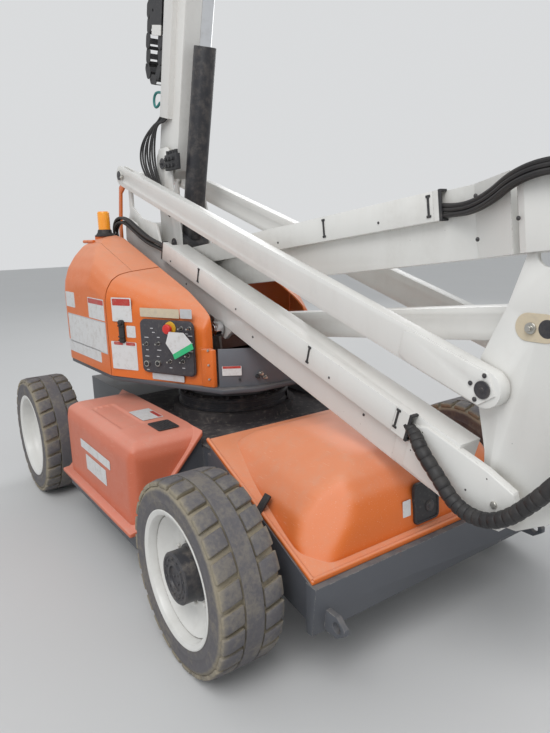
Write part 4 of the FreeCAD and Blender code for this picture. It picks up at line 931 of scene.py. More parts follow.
NODE_FINISH = {
    "tyre": ["tyre_front_right", "tyre_front_left", "tyre_rear_right", "tyre_rear_left"],
    "rim_white": ["rim_front_right", "rim_front_left", "rim_rear_right", "rim_rear_left"],
    "chassis_grey": ["chassis_frame", "turntable_base"],
    "sheet_grey": ["front_sheet", "counterweight", "platform_floor"],
    "deck": ["deck_plate"],
    "axle_black": ["steer_axle", "steer_knuckle_right", "steer_knuckle_left", "drive_axle"],
    "steel": ["tie_rod"],
    "cover_faded": ["battery_cover_right", "battery_cover_left"],
    "hood_orange": ["front_hood", "hood_front_right", "hood_front_left", "hood_door_right", "hood_door_left"],
    "panel": ["control_panel"],
    "amber": ["beacon"],
    "boom_white": ["lower_boom", "side_link_right", "side_link_left", "knuckle", "upper_boom",
                   "upper_link", "upright", "base_boom", "fly_boom", "jib_mount", "jib_boom", "jib_link",
                   "platform_bracket"],
    "cylinder_black": ["lift_barrel", "tower_barrel"],
    "chrome": ["lift_rod", "tower_rod"],
    "black": ["power_track", "platform_controls"],
    "rail_orange": ["turntable_risers", "platform_rails", "platform_gate"],
}


class DRESS_OT_finishes(bpy.types.Operator):
    """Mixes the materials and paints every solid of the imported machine"""
    bl_idname = "dress.finishes"
    bl_label = "Finishes"

    def execute(self, context):
        mix_finishes(context.scene.look_sizes)
        painted = set()
        for finish, nodes in NODE_FINISH.items():
            for node in nodes:
                slots = NODES[node].data.materials
                slots.clear()
                slots.append(FINISHES[finish])
                painted.add(node)
        if painted != set(NODES):
            raise RuntimeError("unpainted: " + ", ".join(sorted(set(NODES) ^ painted)))
        return {"FINISHED"}


HALF_BASE, TRACK, AXLE_HEIGHT = 1.0, 0.755, 0.354
WHEELS = (
    # corner        X           side
    ("front_right", HALF_BASE, -1),
    ("front_left", HALF_BASE, 1),
    ("rear_right", -HALF_BASE, -1),
    ("rear_left", -HALF_BASE, 1),
)


class DRESS_OT_wheels(bpy.types.Operator):
    """Turns the deep rims with their hubs and nuts, and works over the tyres"""
    bl_idname = "dress.wheels"
    bl_label = "Wheels"

    RIM = ((0.2360, -0.1180), (0.2470, -0.1185), (0.2490, -0.1130), (0.2400, -0.1080), (0.2362, -0.1000),
           (0.2362, 0.1000), (0.2400, 0.1080), (0.2490, 0.1130), (0.2500, 0.1170), (0.2465, 0.1190),
           (0.2400, 0.1175), (0.2290, 0.1120), (0.2235, 0.1000), (0.2220, 0.0700))

    def well(self, dish):
        """The rim's inside, from its lip down to the disc and in to the hub."""
        return ((0.2190, dish + 0.060), (0.2080, dish + 0.046), (0.1980, dish + 0.038),
                (0.1900, dish + 0.030), (0.1780, dish + 0.018), (0.1600, dish + 0.012),
                (0.1300, dish + 0.016), (0.0900, dish + 0.020), (0.0400, dish + 0.020))

    def hub(self, dish, radius, proud):
        """The hub drum with its flat face, stepped ring and sunk middle."""
        top = dish + 0.016 + proud
        return ((0.0500, dish + 0.014), (radius + 0.010, dish + 0.014), (radius + 0.010, dish + 0.022),
                (radius, dish + 0.026), (radius, top - 0.004), (radius - 0.004, top), (radius - 0.012, top),
                (radius - 0.015, top - 0.004), (radius - 0.036, top - 0.005), (radius - 0.040, top - 0.001),
                (radius - 0.048, top - 0.001), (radius - 0.051, top - 0.008), (0.012, top - 0.009),
                (0.0, top - 0.009))

    def wheel(self, dish, radius, proud, name):
        rim = lathe(name + "_rim", self.RIM + self.well(dish), steps=80)
        back = lathe(name + "_back", ((0.2220, dish - 0.010), (0.1700, dish - 0.006),
                                      (0.0900, dish - 0.004), (0.0400, dish - 0.004)), steps=48)
        inner = lathe(name + "_inner", ((0.2360, -0.1170), (0.2230, -0.1120), (0.2220, dish - 0.010)),
                      steps=64)
        hub = lathe(name + "_hub", self.hub(dish, radius, proud), steps=56)
        top = dish + 0.016 + proud
        screws = []
        for index in range(12):
            turn = Matrix.Rotation(math.tau * (index + 0.5) / 12, 4, "Y")
            spot = turn @ Vector((radius - 0.0255, top - 0.0035, 0))
            screws.append(drum(name + "_screw", 0.0050, 0.007, spot, "Y", 6))
        for index in range(3):
            turn = Matrix.Rotation(math.tau * index / 3, 4, "Y")
            spot = turn @ Vector((0.020, top - 0.008, 0))
            screws.append(drum(name + "_plug", 0.0070, 0.006, spot, "Y", 12))
        nuts = []
        for index in range(9):
            turn = Matrix.Rotation(math.tau * index / 9 + 0.2, 4, "Y")
            spot = turn @ Vector((radius + 0.024, dish + 0.022, 0))
            nuts.append(soften(drum(name + "_nut", 0.0105, 0.012, spot, "Y", 6), 0.001, 1))
        return (joined(name + "_rim", rim, back, inner), joined(name + "_hub", hub, *screws),
                joined(name + "_nuts", *nuts))

    TYRE = ((0.2360, 0.1120), (0.2500, 0.1150), (0.2700, 0.1165), (0.2780, 0.1185), (0.2840, 0.1165),
            (0.3080, 0.1185), (0.3150, 0.1200), (0.3220, 0.1185), (0.3300, 0.1130), (0.3345, 0.1040),
            (0.3350, 0.0370), (0.3400, 0.0345), (0.3525, 0.0335), (0.3540, 0.0315))
    LUGS, GROOVE, LEAN, TREAD = 26, 0.021, 0.040, 0.354

    def lug(self, inner, outer):
        """One tread block, drawn flat, with a worn outer edge, then laid round the tyre."""
        long = math.tau * self.TREAD / self.LUGS - self.GROOVE
        slant = self.LEAN / 0.152
        corners = ((inner, inner * slant), (outer, outer * slant), (outer, outer * slant + long),
                   (inner, inner * slant + long))
        block_ = outline("lug", corners, "YZ", self.TREAD - 0.022, self.TREAD)
        block_ = soften(block_, 0.0035, 2)
        with Editing(block_) as edit:
            edit.everything()
            bpy.ops.mesh.subdivide(number_cuts=2)
        for corner in block_.data.vertices:
            height, across, run = corner.co
            worn = max(abs(across) - 0.098, 0.0) / 0.018
            height -= 0.0075 * worn ** 1.6 * (height - self.TREAD + 0.022) / 0.022
            corner.co = (height * math.cos(run / self.TREAD), across, height * math.sin(run / self.TREAD))
        block_.data.update()
        return block_

    def tyre(self):
        profile = tuple((radius, -along) for radius, along in self.TYRE) + tuple(reversed(self.TYRE))
        body = lathe("tyre_body", profile, steps=104)
        blocks = []
        for inner, outer in ((0.040, 0.116), (-0.116, -0.040)):
            master = self.lug(inner, outer)
            for index in range(self.LUGS):
                blocks.append(copied(master, "lug", Matrix.Rotation(math.tau * index / self.LUGS, 4, "Y")))
            choose(master)
            bpy.ops.object.delete()
        return smooth(joined("tyre", body, *blocks), 30)

    def execute(self, context):
        sets = {1: self.wheel(0.020, 0.095, 0.078, "front"), -1: self.wheel(-0.014, 0.070, 0.044, "rear")}
        tyre = self.tyre()
        for corner, end, side in WHEELS:
            body = "wheel_" + corner
            flip = Matrix.Rotation(math.pi, 4, "X") if side > 0 else Matrix.Identity(4)
            outward = Matrix.Identity(4) if side > 0 else Matrix.Rotation(math.pi, 4, "Z")
            spot = Matrix.Translation((end, TRACK * side, AXLE_HEIGHT))
            rim, hub, nuts = sets[1 if end > 0 else -1]
            keep(copied(rim, "rim_shell_" + corner, spot @ outward), "rim_white", body, "rim_" + corner)
            keep(copied(hub, "hub_" + corner, spot @ outward), "axle_black", body)
            keep(copied(nuts, "wheel_nuts_" + corner, spot @ outward), "rim_white", body)
            keep(copied(tyre, "tyre_tread_" + corner, spot @ flip), "tyre", body, "tyre_" + corner)
        choose(*sets[1], *sets[-1], tyre)
        bpy.ops.object.delete()
        return {"FINISHED"}


HOOD_HEART = (-0.5, -0.4, 1.0)
HOOD_CUTS = (
    # stretched along, then the outline's corners
    ((0, 0, 1), ((0.297, -0.20, 1), (0.297, -0.3347, 1), (-0.07, -0.508, 1), (-0.235, -0.592, 1),
                 (-0.90, -0.606, 1), (-1.16, -0.520, 1), (-1.262, -0.33, 1), (-1.262, -0.20, 1))),
    ((0, 1, 0), ((0.297, -0.4, 0.90), (0.293, -0.4, 1.104), (0.283, -0.4, 1.160), (0.210, -0.4, 1.220),
                 (-0.726, -0.4, 1.526), (-0.85, -0.4, 1.545), (-0.98, -0.4, 1.545), (-1.10, -0.4, 1.497),
                 (-1.19, -0.4, 1.415), (-1.232, -0.4, 1.320), (-1.262, -0.4, 1.220))),
    ((1, 0, -0.327), ((0, -0.620, 1.049), (0, -0.587, 1.161), (0, -0.578, 1.192), (0, -0.550, 1.235),
                      (0, -0.507, 1.262), (0, -0.447, 1.274), (0, -0.270, 1.290))),
    ((0.415, 0.196, -0.1357), ((-0.07, -0.536, 1.072), (-0.07, -0.508, 1.172), (-0.07, -0.492, 1.217),
                               (-0.07, -0.462, 1.260), (-0.07, -0.420, 1.290), (-0.07, -0.345, 1.312),
                               (-0.07, 0.8, 1.512))),
    ((1, 0, 0), ((0, -0.620, 1.105), (0, -0.606, 1.225), (0, -0.598, 1.290), (0, -0.572, 1.365),
                 (0, -0.528, 1.430), (0, -0.470, 1.488), (0, -0.400, 1.522), (0, -0.330, 1.541),
                 (0, -0.200, 1.553))),
    ((-0.26, 0.086, -0.04), ((-0.9, -0.620, 1.105), (-0.9, -0.606, 1.225), (-0.9, -0.598, 1.290),
                             (-0.9, -0.572, 1.365), (-0.9, -0.528, 1.430), (-0.9, -0.470, 1.488),
                             (-0.9, -0.400, 1.522), (-0.9, -0.330, 1.541))),
)
SEAM_FRONT, SEAM_REAR, SEAM_FIXED, SEAM_DOOR = -0.2505, -0.2590, -0.4308, -0.4320
DOOR_FACE = Face((-0.9, -0.606, 0), (0.665, 0.014, 0))
MID_FACE = Face((-0.235, -0.592, 0), (0.165, 0.084, 0))
PANEL_FACE = Face((-0.07, -0.508, 0), (0.415, 0.196, 0))

LABELS = (
    # name          face        along  up     wide   high   finish         body         out
    ("sign_edge", DOOR_FACE, 0.325, 1.018, 0.600, 0.170, "label_grey", "hood_right", 0.0),
    ("sign", DOOR_FACE, 0.325, 1.018, 0.586, 0.156, "label", "hood_right", 0.0008),
    ("sign_strip", DOOR_FACE, 0.264, 0.908, 0.520, 0.070, "label", "hood_right", 0.0),
    ("notice_a", DOOR_FACE, 0.090, 1.186, 0.150, 0.088, "label", "hood_right", 0.0),
    ("notice_b", DOOR_FACE, 0.505, 1.165, 0.235, 0.112, "label", "hood_right", 0.0),
    ("notice_b_head", DOOR_FACE, 0.505, 1.203, 0.221, 0.026, "label_red", "hood_right", 0.0008),
    ("notice_c", MID_FACE, 0.098, 1.177, 0.130, 0.122, "label", "turntable", 0.0),
    ("notice_c_head", MID_FACE, 0.098, 1.215, 0.116, 0.034, "label_red", "turntable", 0.0008),
    ("notice_d", MID_FACE, 0.150, 1.067, 0.058, 0.060, "label", "turntable", 0.0),
    ("notice_e", MID_FACE, 0.094, 0.940, 0.168, 0.145, "label", "turntable", 0.0),
    ("notice_e_head", MID_FACE, 0.060, 1.003, 0.060, 0.016, "label_red", "turntable", 0.0008),
    ("notice_e_tail", MID_FACE, 0.140, 1.003, 0.060, 0.016, "label_red", "turntable", 0.0008),
    ("beige_strip", PANEL_FACE, 0.155, 1.170, 0.245, 0.044, "label_beige", "turntable", 0.0),
    ("beige_square", PANEL_FACE, 0.318, 1.172, 0.070, 0.045, "label_grey", "turntable", 0.0),
    ("panel_notice", PANEL_FACE, 0.185, 0.850, 0.200, 0.032, "label_grey", "turntable", 0.0),
)


class DRESS_OT_side_hoods(bpy.types.Operator):
    """Moulds the turntable's side hoods with their doors, seams, latches and blank signs"""
    bl_idname = "dress.side_hoods"
    bl_label = "Side hoods"

    def on_door(self, middle, normal):
        return middle.x < SEAM_FRONT and (middle.y < SEAM_FIXED or middle.x > SEAM_REAR)

    def skin(self):
        form = carved("hood_form", (-1.30, -0.64, 0.76), (0.33, -0.20, 1.60), HOOD_CUTS, HOOD_HEART)
        form = moulded(form, 0.009, 12)
        opened(form, ((0, 0, 0.8245), (0, 0, -1)))
        sliced(form, ((0, -0.278, 0), (0, 1, 0)))
        for plane in (((SEAM_FRONT, 0, 0), (1, 0, 0)), ((SEAM_REAR, 0, 0), (1, 0, 0)),
                      ((0, SEAM_FIXED, 0), (0, 1, 0)), ((0, SEAM_DOOR, 0), (0, 1, 0))):
            with Editing(form) as edit:
                edit.everything()
                bpy.ops.mesh.bisect(plane_co=plane[0], plane_no=plane[1])
        return form

    def latch(self, name):
        strap = MID_FACE.plate(name, 0.092, 1.066, 0.034, 0.118, 0.010, 0.008)
        ribs = [MID_FACE.plate(name, 0.092, 1.066 + lift, 0.038, 0.008, 0.016, 0.003)
                for lift in (-0.044, -0.026, 0.030)]
        nose = MID_FACE.plate(name, 0.092, 1.112, 0.026, 0.020, 0.020, 0.008)
        return joined(name, soften(strap, 0.002, 2), *(soften(rib, 0.0015, 1) for rib in ribs),
                      soften(nose, 0.003, 2))

    def execute(self, context):
        form = self.skin()
        fixed = without(twin(form, "hood_fixed"), self.on_door)
        door = without(form, lambda middle, normal: middle.x > SEAM_REAR or middle.y > SEAM_DOOR)
        flange = outline("flange", ((0.283, -0.3400), (0.345, -0.3118), (0.345, -0.2900), (0.283, -0.2900)),
                         "XY", 0.8245, 1.007)
        fixed = joined("hood_fixed", walled(fixed, 0.008), soften(flange, 0.004, 2))
        hinge = joined("hinge", drum("hinge_a", 0.010, 0.085, (-0.945, -0.4315, 1.512), "X", 20),
                       drum("hinge_b", 0.010, 0.085, (-0.855, -0.4315, 1.512), "X", 20))
        door = walled(door, 0.008)
        latch = self.latch("latch")
        for side, way in (("right", Matrix.Identity(4)), ("left", MIRROR)):
            keep(copied(fixed, "hood_front_shell_" + side, way), "hood_orange", "turntable",
                 "hood_front_" + side)
            keep(copied(door, "hood_door_shell_" + side, way), "hood_orange", "hood_" + side,
                 "hood_door_" + side)
            keep(copied(hinge, "hood_hinge_" + side, way), "hood_orange", "hood_" + side)
            keep(copied(latch, "hood_latch_" + side, way), "rubber", "turntable")
        choose(fixed, door, hinge, latch)
        bpy.ops.object.delete()
        pad = drum("beacon_pad", 0.050, 0.030, (-0.900, -0.340, 1.5305), "Z", 40)
        keep(smooth(pad), "hood_orange", "turntable")
        for name, face, along, up, wide, high, finish, body, out in LABELS:
            keep(face.plate(name, along, up, wide, high, 0.0012, 0.005, out), finish, body)
        for up in (1.004, 0.934, 0.865):
            keep(PANEL_FACE.knob("flange_screw_%d" % (up * 1000), 0.437, up, 0.0065, 0.006, 0.0, 0.005, 12),
                 "zinc", "turntable")
        return {"FINISHED"}


class DRESS_OT_control_panel(bpy.types.Operator):
    """Builds the ground control panel, its switches, stop button and hanging tag, and the beacon"""
    bl_idname = "dress.control_panel"
    bl_label = "Control panel and beacon"

    TOGGLES = ((0.075, 1.016), (0.151, 1.021), (0.218, 0.937), (0.297, 0.943), (0.298, 1.104),
               (0.346, 1.105), (0.330, 0.975))
    KEYS = ((0.071, 0.916), (0.142, 0.922))
    MARKS = ((0.075, 1.048), (0.151, 1.052), (0.075, 0.985), (0.151, 0.988), (0.218, 0.905), (0.297, 0.910),
             (0.071, 0.953), (0.142, 0.956), (0.327, 1.079), (0.346, 1.035), (0.112, 1.095), (0.072, 0.884),
             (0.346, 1.070), (0.122, 1.075), (0.252, 0.975), (0.346, 0.995))

    def toggle(self, index, along, up):
        boot = PANEL_FACE.knob("boot", along, up, 0.0095, 0.008, 0.014, 0.006, 18)
        lever = PANEL_FACE.knob("lever", along, up, 0.0028, 0.022, 0.020, 0.0042, 12)
        nut = PANEL_FACE.knob("nut", along, up, 0.0115, 0.004, 0.0135, 0.0105, 6)
        lever = joined("toggle_%d" % index, lever, nut)
        keep(lever, "zinc", "turntable")
        keep(smooth(boot), "black", "turntable").name = "toggle_boot_%d" % index

    def execute(self, context):
        plate = PANEL_FACE.plate("panel_plate", 0.198, 1.003, 0.322, 0.262, 0.014, 0.024)
        rim = PANEL_FACE.plate("panel_rim", 0.198, 1.003, 0.330, 0.270, 0.006, 0.028)
        keep(joined("panel_plate", soften(plate, 0.003, 3), soften(rim, 0.002, 2)), "panel", "turntable",
             "control_panel")
        for index, (along, up) in enumerate(self.TOGGLES):
            self.toggle(index, along, up)
        for index, (along, up) in enumerate(self.KEYS):
            ring = PANEL_FACE.knob("ring", along, up, 0.0165, 0.010, 0.014, 0.0150, 28)
            keep(joined("key_ring_%d" % index, smooth(ring)), "zinc", "turntable")
            core = PANEL_FACE.knob("core", along, up, 0.0110, 0.012, 0.014, 0.0105, 24)
            slot = PANEL_FACE.plate("slot", along, up, 0.016, 0.004, 0.010, 0.0015, 0.020)
            keep(joined("key_core_%d" % index, core, slot), "black", "turntable")
        for index, (along, up) in enumerate(self.MARKS):
            keep(PANEL_FACE.plate("panel_mark_%d" % index, along, up, 0.017 if index % 3 else 0.026, 0.004,
                                  0.0006, 0.001, 0.0138),
                 "label_grey", "turntable")
        keep(smooth(PANEL_FACE.knob("stop_ring", 0.230, 1.100, 0.0340, 0.008, 0.012, 0.0325, 40)), "yellow",
             "turntable")
        stem = PANEL_FACE.knob("stem", 0.230, 1.100, 0.014, 0.018, 0.018, 0.014, 24)
        cap = soften(PANEL_FACE.knob("cap", 0.230, 1.100, 0.0250, 0.016, 0.034, 0.0225, 36), 0.005, 3)
        keep(joined("stop_button", stem, cap), "red", "turntable")
        tag = outline("tag", ((0.250, 1.090), (0.228, 1.034), (0.267, 0.983), (0.384, 1.045),
                              (0.338, 1.091)), "XY", 0.0, 0.0012)
        band = outline("band", ((0.267, 0.983), (0.277, 0.959), (0.393, 1.018), (0.384, 1.045)), "XY", 0.0,
                       0.0012)
        for piece, name, finish in ((tag, "tag_card", "label"), (band, "tag_band", "tag_green")):
            piece.matrix_world = PANEL_FACE.matrix(0, 0, 0.052)
            settle(piece)
            keep(piece, finish, "turntable").name = name
        loop = [PANEL_FACE.start + PANEL_FACE.along * (0.230 + 0.021 * math.cos(turn))
                + PANEL_FACE.up * (1.094 + 0.021 * math.sin(turn))
                + PANEL_FACE.out * (0.032 + 0.010 * math.cos(turn + 1.0))
                for turn in (0.6, 1.6, 2.6, 3.6, 4.4)]
        tie = [PANEL_FACE.start + PANEL_FACE.along * 0.256 + PANEL_FACE.up * 1.078 + PANEL_FACE.out * 0.053]
        hose("tag_string", tie + loop + tie, 0.0009, "label", "turntable", 4, 8)
        post = Vector((-0.894, -0.331, 1.5400))
        base = lathe("beacon_base", ((0.0, 0.0), (0.060, 0.0), (0.060, 0.006), (0.050, 0.014),
                                     (0.043, 0.024), (0.041, 0.036), (0.038, 0.040), (0.0, 0.040)), steps=40)
        dome = [(0.0345, 0.038), (0.0360, 0.042)]
        for ring in range(7):
            low = 0.046 + ring * 0.0130
            dome += [(0.0362, low), (0.0352, low + 0.0065), (0.0362, low + 0.0130)]
        dome += [(0.0350, 0.1405), (0.0310, 0.1470), (0.0, 0.1485)]
        lens = lathe("beacon_lens", dome, steps=40)
        upright = Matrix.Translation(post) @ Matrix.Rotation(math.pi / 2, 4, "X")
        for piece, finish, nodes in ((base, "rubber", ()), (lens, "amber", ("beacon",))):
            piece.matrix_world = upright
            settle(piece)
            keep(piece, finish, "turntable", *nodes)
        return {"FINISHED"}


COVER_HEART = (0, -0.6, 0.5)
COVER_CUTS = (
    ((1, 0, 0), ((0, -0.800, 0.10), (0, -0.798, 0.600), (0, -0.783, 0.645), (0, -0.748, 0.674),
                 (0, -0.690, 0.681), (0, -0.3, 0.685))),
    ((0, 1, 0), ((0.470, -0.6, 0.1), (0.463, -0.6, 0.605), (0.445, -0.6, 0.650), (0.405, -0.6, 0.676),
                 (0.33, -0.6, 0.684), (0, -0.6, 0.6855))),
    ((0, 1, 0), ((-0.470, -0.6, 0.1), (-0.463, -0.6, 0.605), (-0.445, -0.6, 0.650), (-0.405, -0.6, 0.676),
                 (-0.33, -0.6, 0.684), (0, -0.6, 0.6855))),
    ((0, 0, 1), ((0.470, -0.735, 0), (0.456, -0.776, 0), (0.420, -0.800, 0))),
    ((0, 0, 1), ((-0.470, -0.735, 0), (-0.456, -0.776, 0), (-0.420, -0.800, 0))),
)
COVER_TOP = Face((0, -0.620, 0.6835), (1, 0, 0), (0, 1, 0))
COVER_SIDE = Face((0, -0.7995, 0), (1, 0, 0))


class DRESS_OT_battery_covers(bpy.types.Operator):
    """Moulds the battery covers with their slanting lips, vents and blank labels"""
    bl_idname = "dress.battery_covers"
    bl_label = "Battery covers"

    def in_recess(self, middle, normal):
        return -0.20 < middle.x < 0.205 and -0.727 < middle.y < -0.622 and normal.z > 0.9

    def execute(self, context):
        form = carved("cover_form", (-0.52, -0.84, 0.15), (0.52, -0.40, 0.74), COVER_CUTS, COVER_HEART)
        form = moulded(form, 0.008, 14)
        opened(form, ((0, -0.455, 0.655), (0, 0.38, -0.345)), ((0, -0.4555, 0), (0, 1, 0)))
        with Editing(form) as edit:
            edit.pick(self.in_recess)
            bpy.ops.transform.translate(value=(0, 0, -0.006))
        form = walled(form, 0.006)
        lip = outline("lip", ((-0.4555, 0.655), (-0.800, 0.275), (-0.834, 0.275), (-0.834, 0.296),
                              (-0.797, 0.300), (-0.4555, 0.684)), "YZ", -0.484, 0.484)
        cover = joined("cover", form, soften(lip, 0.007, 3, 12))
        vent = COVER_TOP.plate("vent", 0.305, 0.055, 0.132, 0.104, 0.004, 0.010, -0.001)
        slats = [COVER_TOP.plate("slat", 0.305, 0.055 + lift, 0.112, 0.006, 0.005, 0.002, 0.001)
                 for lift in (-0.036, -0.024, -0.012, 0.0, 0.012, 0.024, 0.036)]
        vent = joined("vent", soften(vent, 0.0012, 1), *slats)
        for side, way in (("right", Matrix.Identity(4)), ("left", MIRROR)):
            keep(copied(cover, "battery_shell_" + side, way), "cover_faded", "chassis",
                 "battery_cover_" + side)
            keep(copied(vent, "battery_vent_" + side, way), "black", "chassis")
        choose(cover, vent)
        bpy.ops.object.delete()
        for name, face, along, up, wide, high, finish, out in (
                ("cover_notice", COVER_TOP, 0.092, 0.061, 0.180, 0.106, "label", 0.001),
                ("cover_notice_head", COVER_TOP, 0.120, 0.100, 0.110, 0.020, "label_red", 0.0018),
                ("cover_strip", COVER_SIDE, 0.0, 0.513, 0.420, 0.044, "label", 0.0),
                ("cover_code", COVER_SIDE, 0.0, 0.430, 0.286, 0.080, "label", 0.0)):
            keep(face.plate(name, along, up, wide, high, 0.0012, 0.006, out), finish, "chassis")
        return {"FINISHED"}


def bay_lip(x):
    """Height of the front hood's lip, which slopes down to the nose."""
    return 0.650 - (x - 0.556) * 0.210 / 0.884


CHARGER_HEART = (1.0, 0, 0.6)
CHARGER_CUTS = (
    ((0, 1, 0), ((1.412, 0, 0.30), (1.400, 0, 0.555), (1.378, 0, 0.635), (1.330, 0, 0.700),
                 (1.250, 0, 0.738), (1.150, 0, 0.750), (0.920, 0, 0.750), (0.760, 0, 0.728),
                 (0.660, 0, 0.692), (0.610, 0, 0.650), (0.600, 0, 0.5))),
    ((0.72, -0.092, 0), ((1.32, -0.568, 0.30), (1.32, -0.555, 0.500), (1.32, -0.520, 0.580),
                         (1.32, -0.455, 0.650), (1.32, -0.370, 0.706), (1.32, -0.270, 0.741),
                         (1.32, -0.100, 0.756))),
    ((0.72, 0.092, 0), ((1.32, 0.568, 0.30), (1.32, 0.555, 0.500), (1.32, 0.520, 0.580), (1.32, 0.455, 0.650),
                        (1.32, 0.370, 0.706), (1.32, 0.270, 0.741), (1.32, 0.100, 0.756))),
)
CHARGER_CORNERS = (
    # three points of each plane that cuts a front corner
    ((1.408, -0.485, 0.46), (1.330, -0.562, 0.46), (1.300, -0.380, 0.700)),
)
FRONT_FACE = Face((1.4270, 0, 0), (0, 1, 0), (-0.050, 0, 1))


class DRESS_OT_charger_hood(bpy.types.Operator):
    """Moulds the front hood over the charger, with its lip, latches, inlet and blank labels"""
    bl_idname = "dress.charger_hood"
    bl_label = "Front hood"

    def execute(self, context):
        form = carved("charger_form", (0.56, -0.62, 0.28), (1.44, 0.62, 0.80), CHARGER_CUTS, CHARGER_HEART)
        for first, second, third in CHARGER_CORNERS:
            for side in (1, -1):
                spots = [Vector((x, y * side, z)) for x, y, z in (first, second, third)]
                normal = (spots[1] - spots[0]).cross(spots[2] - spots[0]).normalized()
                if (spots[0] - Vector(CHARGER_HEART)).dot(normal) < 0:
                    normal.negate()
                sliced(form, (spots[0], normal))
        form = moulded(form, 0.009, 40)
        opened(form, ((0.556, 0, bay_lip(0.556)), (-0.210, 0, -0.884)))
        form = walled(form, 0.006)
        side_lines = [((0, 0, 1), ((0.556, side * 0.478, 0), (1.440, side * 0.596, 0))) for side in (1, -1)]
        lip = carved("lip", (0.556, -0.60, 0.40), (1.440, 0.60, 0.70),
                     [((0, 1, 0), ((0.556, 0, bay_lip(0.556)), (1.440, 0, bay_lip(1.440)))), *side_lines],
                     (1.0, 0, 0.8))
        sliced(lip, ((0.556, 0, bay_lip(0.556) + 0.014), (0.210, 0, 0.884)))
        rolls = []
        for side in (1, -1):
            rolls.append((Vector((0.556, side * 0.470, bay_lip(0.556) + 0.012)),
                          Vector((1.432, side * 0.588, bay_lip(1.432) + 0.012))))
        rolls.append((Vector((1.432, -0.588, bay_lip(1.432) + 0.012)),
                      Vector((1.432, 0.588, bay_lip(1.432) + 0.012))))
        beads = []
        for start, end in rolls:
            bead = drum("bead", 0.008, (end - start).length, (0, 0, 0), "Z", 14)
            turn = (end - start).to_track_quat("Z", "Y").to_matrix().to_4x4()
            bead.matrix_world = Matrix.Translation((start + end) / 2) @ turn
            beads.append(smooth(settle(bead)))
        keep(joined("charger_shell", form, soften(lip, 0.004, 2), *beads), "hood_orange", "chassis",
             "front_hood")

        frame_plate = FRONT_FACE.plate("inlet_frame", -0.028, 0.555, 0.132, 0.158, 0.014, 0.020, -0.004)
        pan = FRONT_FACE.plate("inlet_pan", -0.028, 0.555, 0.116, 0.142, 0.012, 0.014, 0.003)
        modify(frame_plate, "BOOLEAN", operation="DIFFERENCE", object=pan, solver="EXACT")
        choose(pan)
        bpy.ops.object.delete()
        floor = FRONT_FACE.plate("inlet_floor", -0.028, 0.555, 0.120, 0.146, 0.008, 0.014, -0.003)
        keep(joined("inlet_frame", soften(frame_plate, 0.0015, 2), floor), "black", "chassis")
        ring = FRONT_FACE.knob("inlet_ring", -0.010, 0.532, 0.022, 0.005, 0.005, 0.020, 32)
        cap = FRONT_FACE.knob("inlet_cap", -0.010, 0.532, 0.015, 0.008, 0.005, 0.014, 28)
        keep(joined("inlet_socket", smooth(ring), soften(cap, 0.002, 2)), "axle_black", "chassis")
        keep(FRONT_FACE.plate("inlet_label", -0.126, 0.551, 0.040, 0.062, 0.0012, 0.003, 0.0), "label",
             "chassis")
        for side in (-1, 1):
            strap = outline("strap", ((-0.500, 0.590), (-0.560, 0.520), (-0.566, 0.450), (-0.576, 0.450),
                                      (-0.571, 0.523), (-0.507, 0.598)), "YZ", 1.050, 1.086)
            knob = drum("knob", 0.009, 0.044, (1.068, -0.572, 0.452), "X", 16)
            strap = joined("strap", soften(strap, 0.003, 2), smooth(knob))
            if side > 0:
                strap = settle_mirrored(strap)
            keep(strap, "rubber", "chassis").name = "charger_latch_" + ("right" if side < 0 else "left")
        return {"FINISHED"}


SHARPNESS = (
    # width of the rounding, and the solids whose welded or cast edges it rounds
    (0.004, "lower_boom side_link_right side_link_left knuckle upper_boom upper_link upright"
            " turntable_risers base_boom fly_boom"),
    (0.003, "jib_mount jib_boom jib_link platform_bracket platform_floor lift_barrel tower_barrel"),
    (0.005, "chassis_frame turntable_base counterweight drive_axle steer_axle steer_knuckle_right"
            " steer_knuckle_left"),
    (0.002, "deck_plate front_sheet tie_rod lift_rod tower_rod platform_rails platform_gate"
            " platform_controls"),
)
FINISH_OF = {node: finish for finish, nodes in NODE_FINISH.items() for node in nodes}


SPLIT_NODES = ("turntable_risers",)
DESK_DROP = 0.114
RISER_SPLIT = 1.690


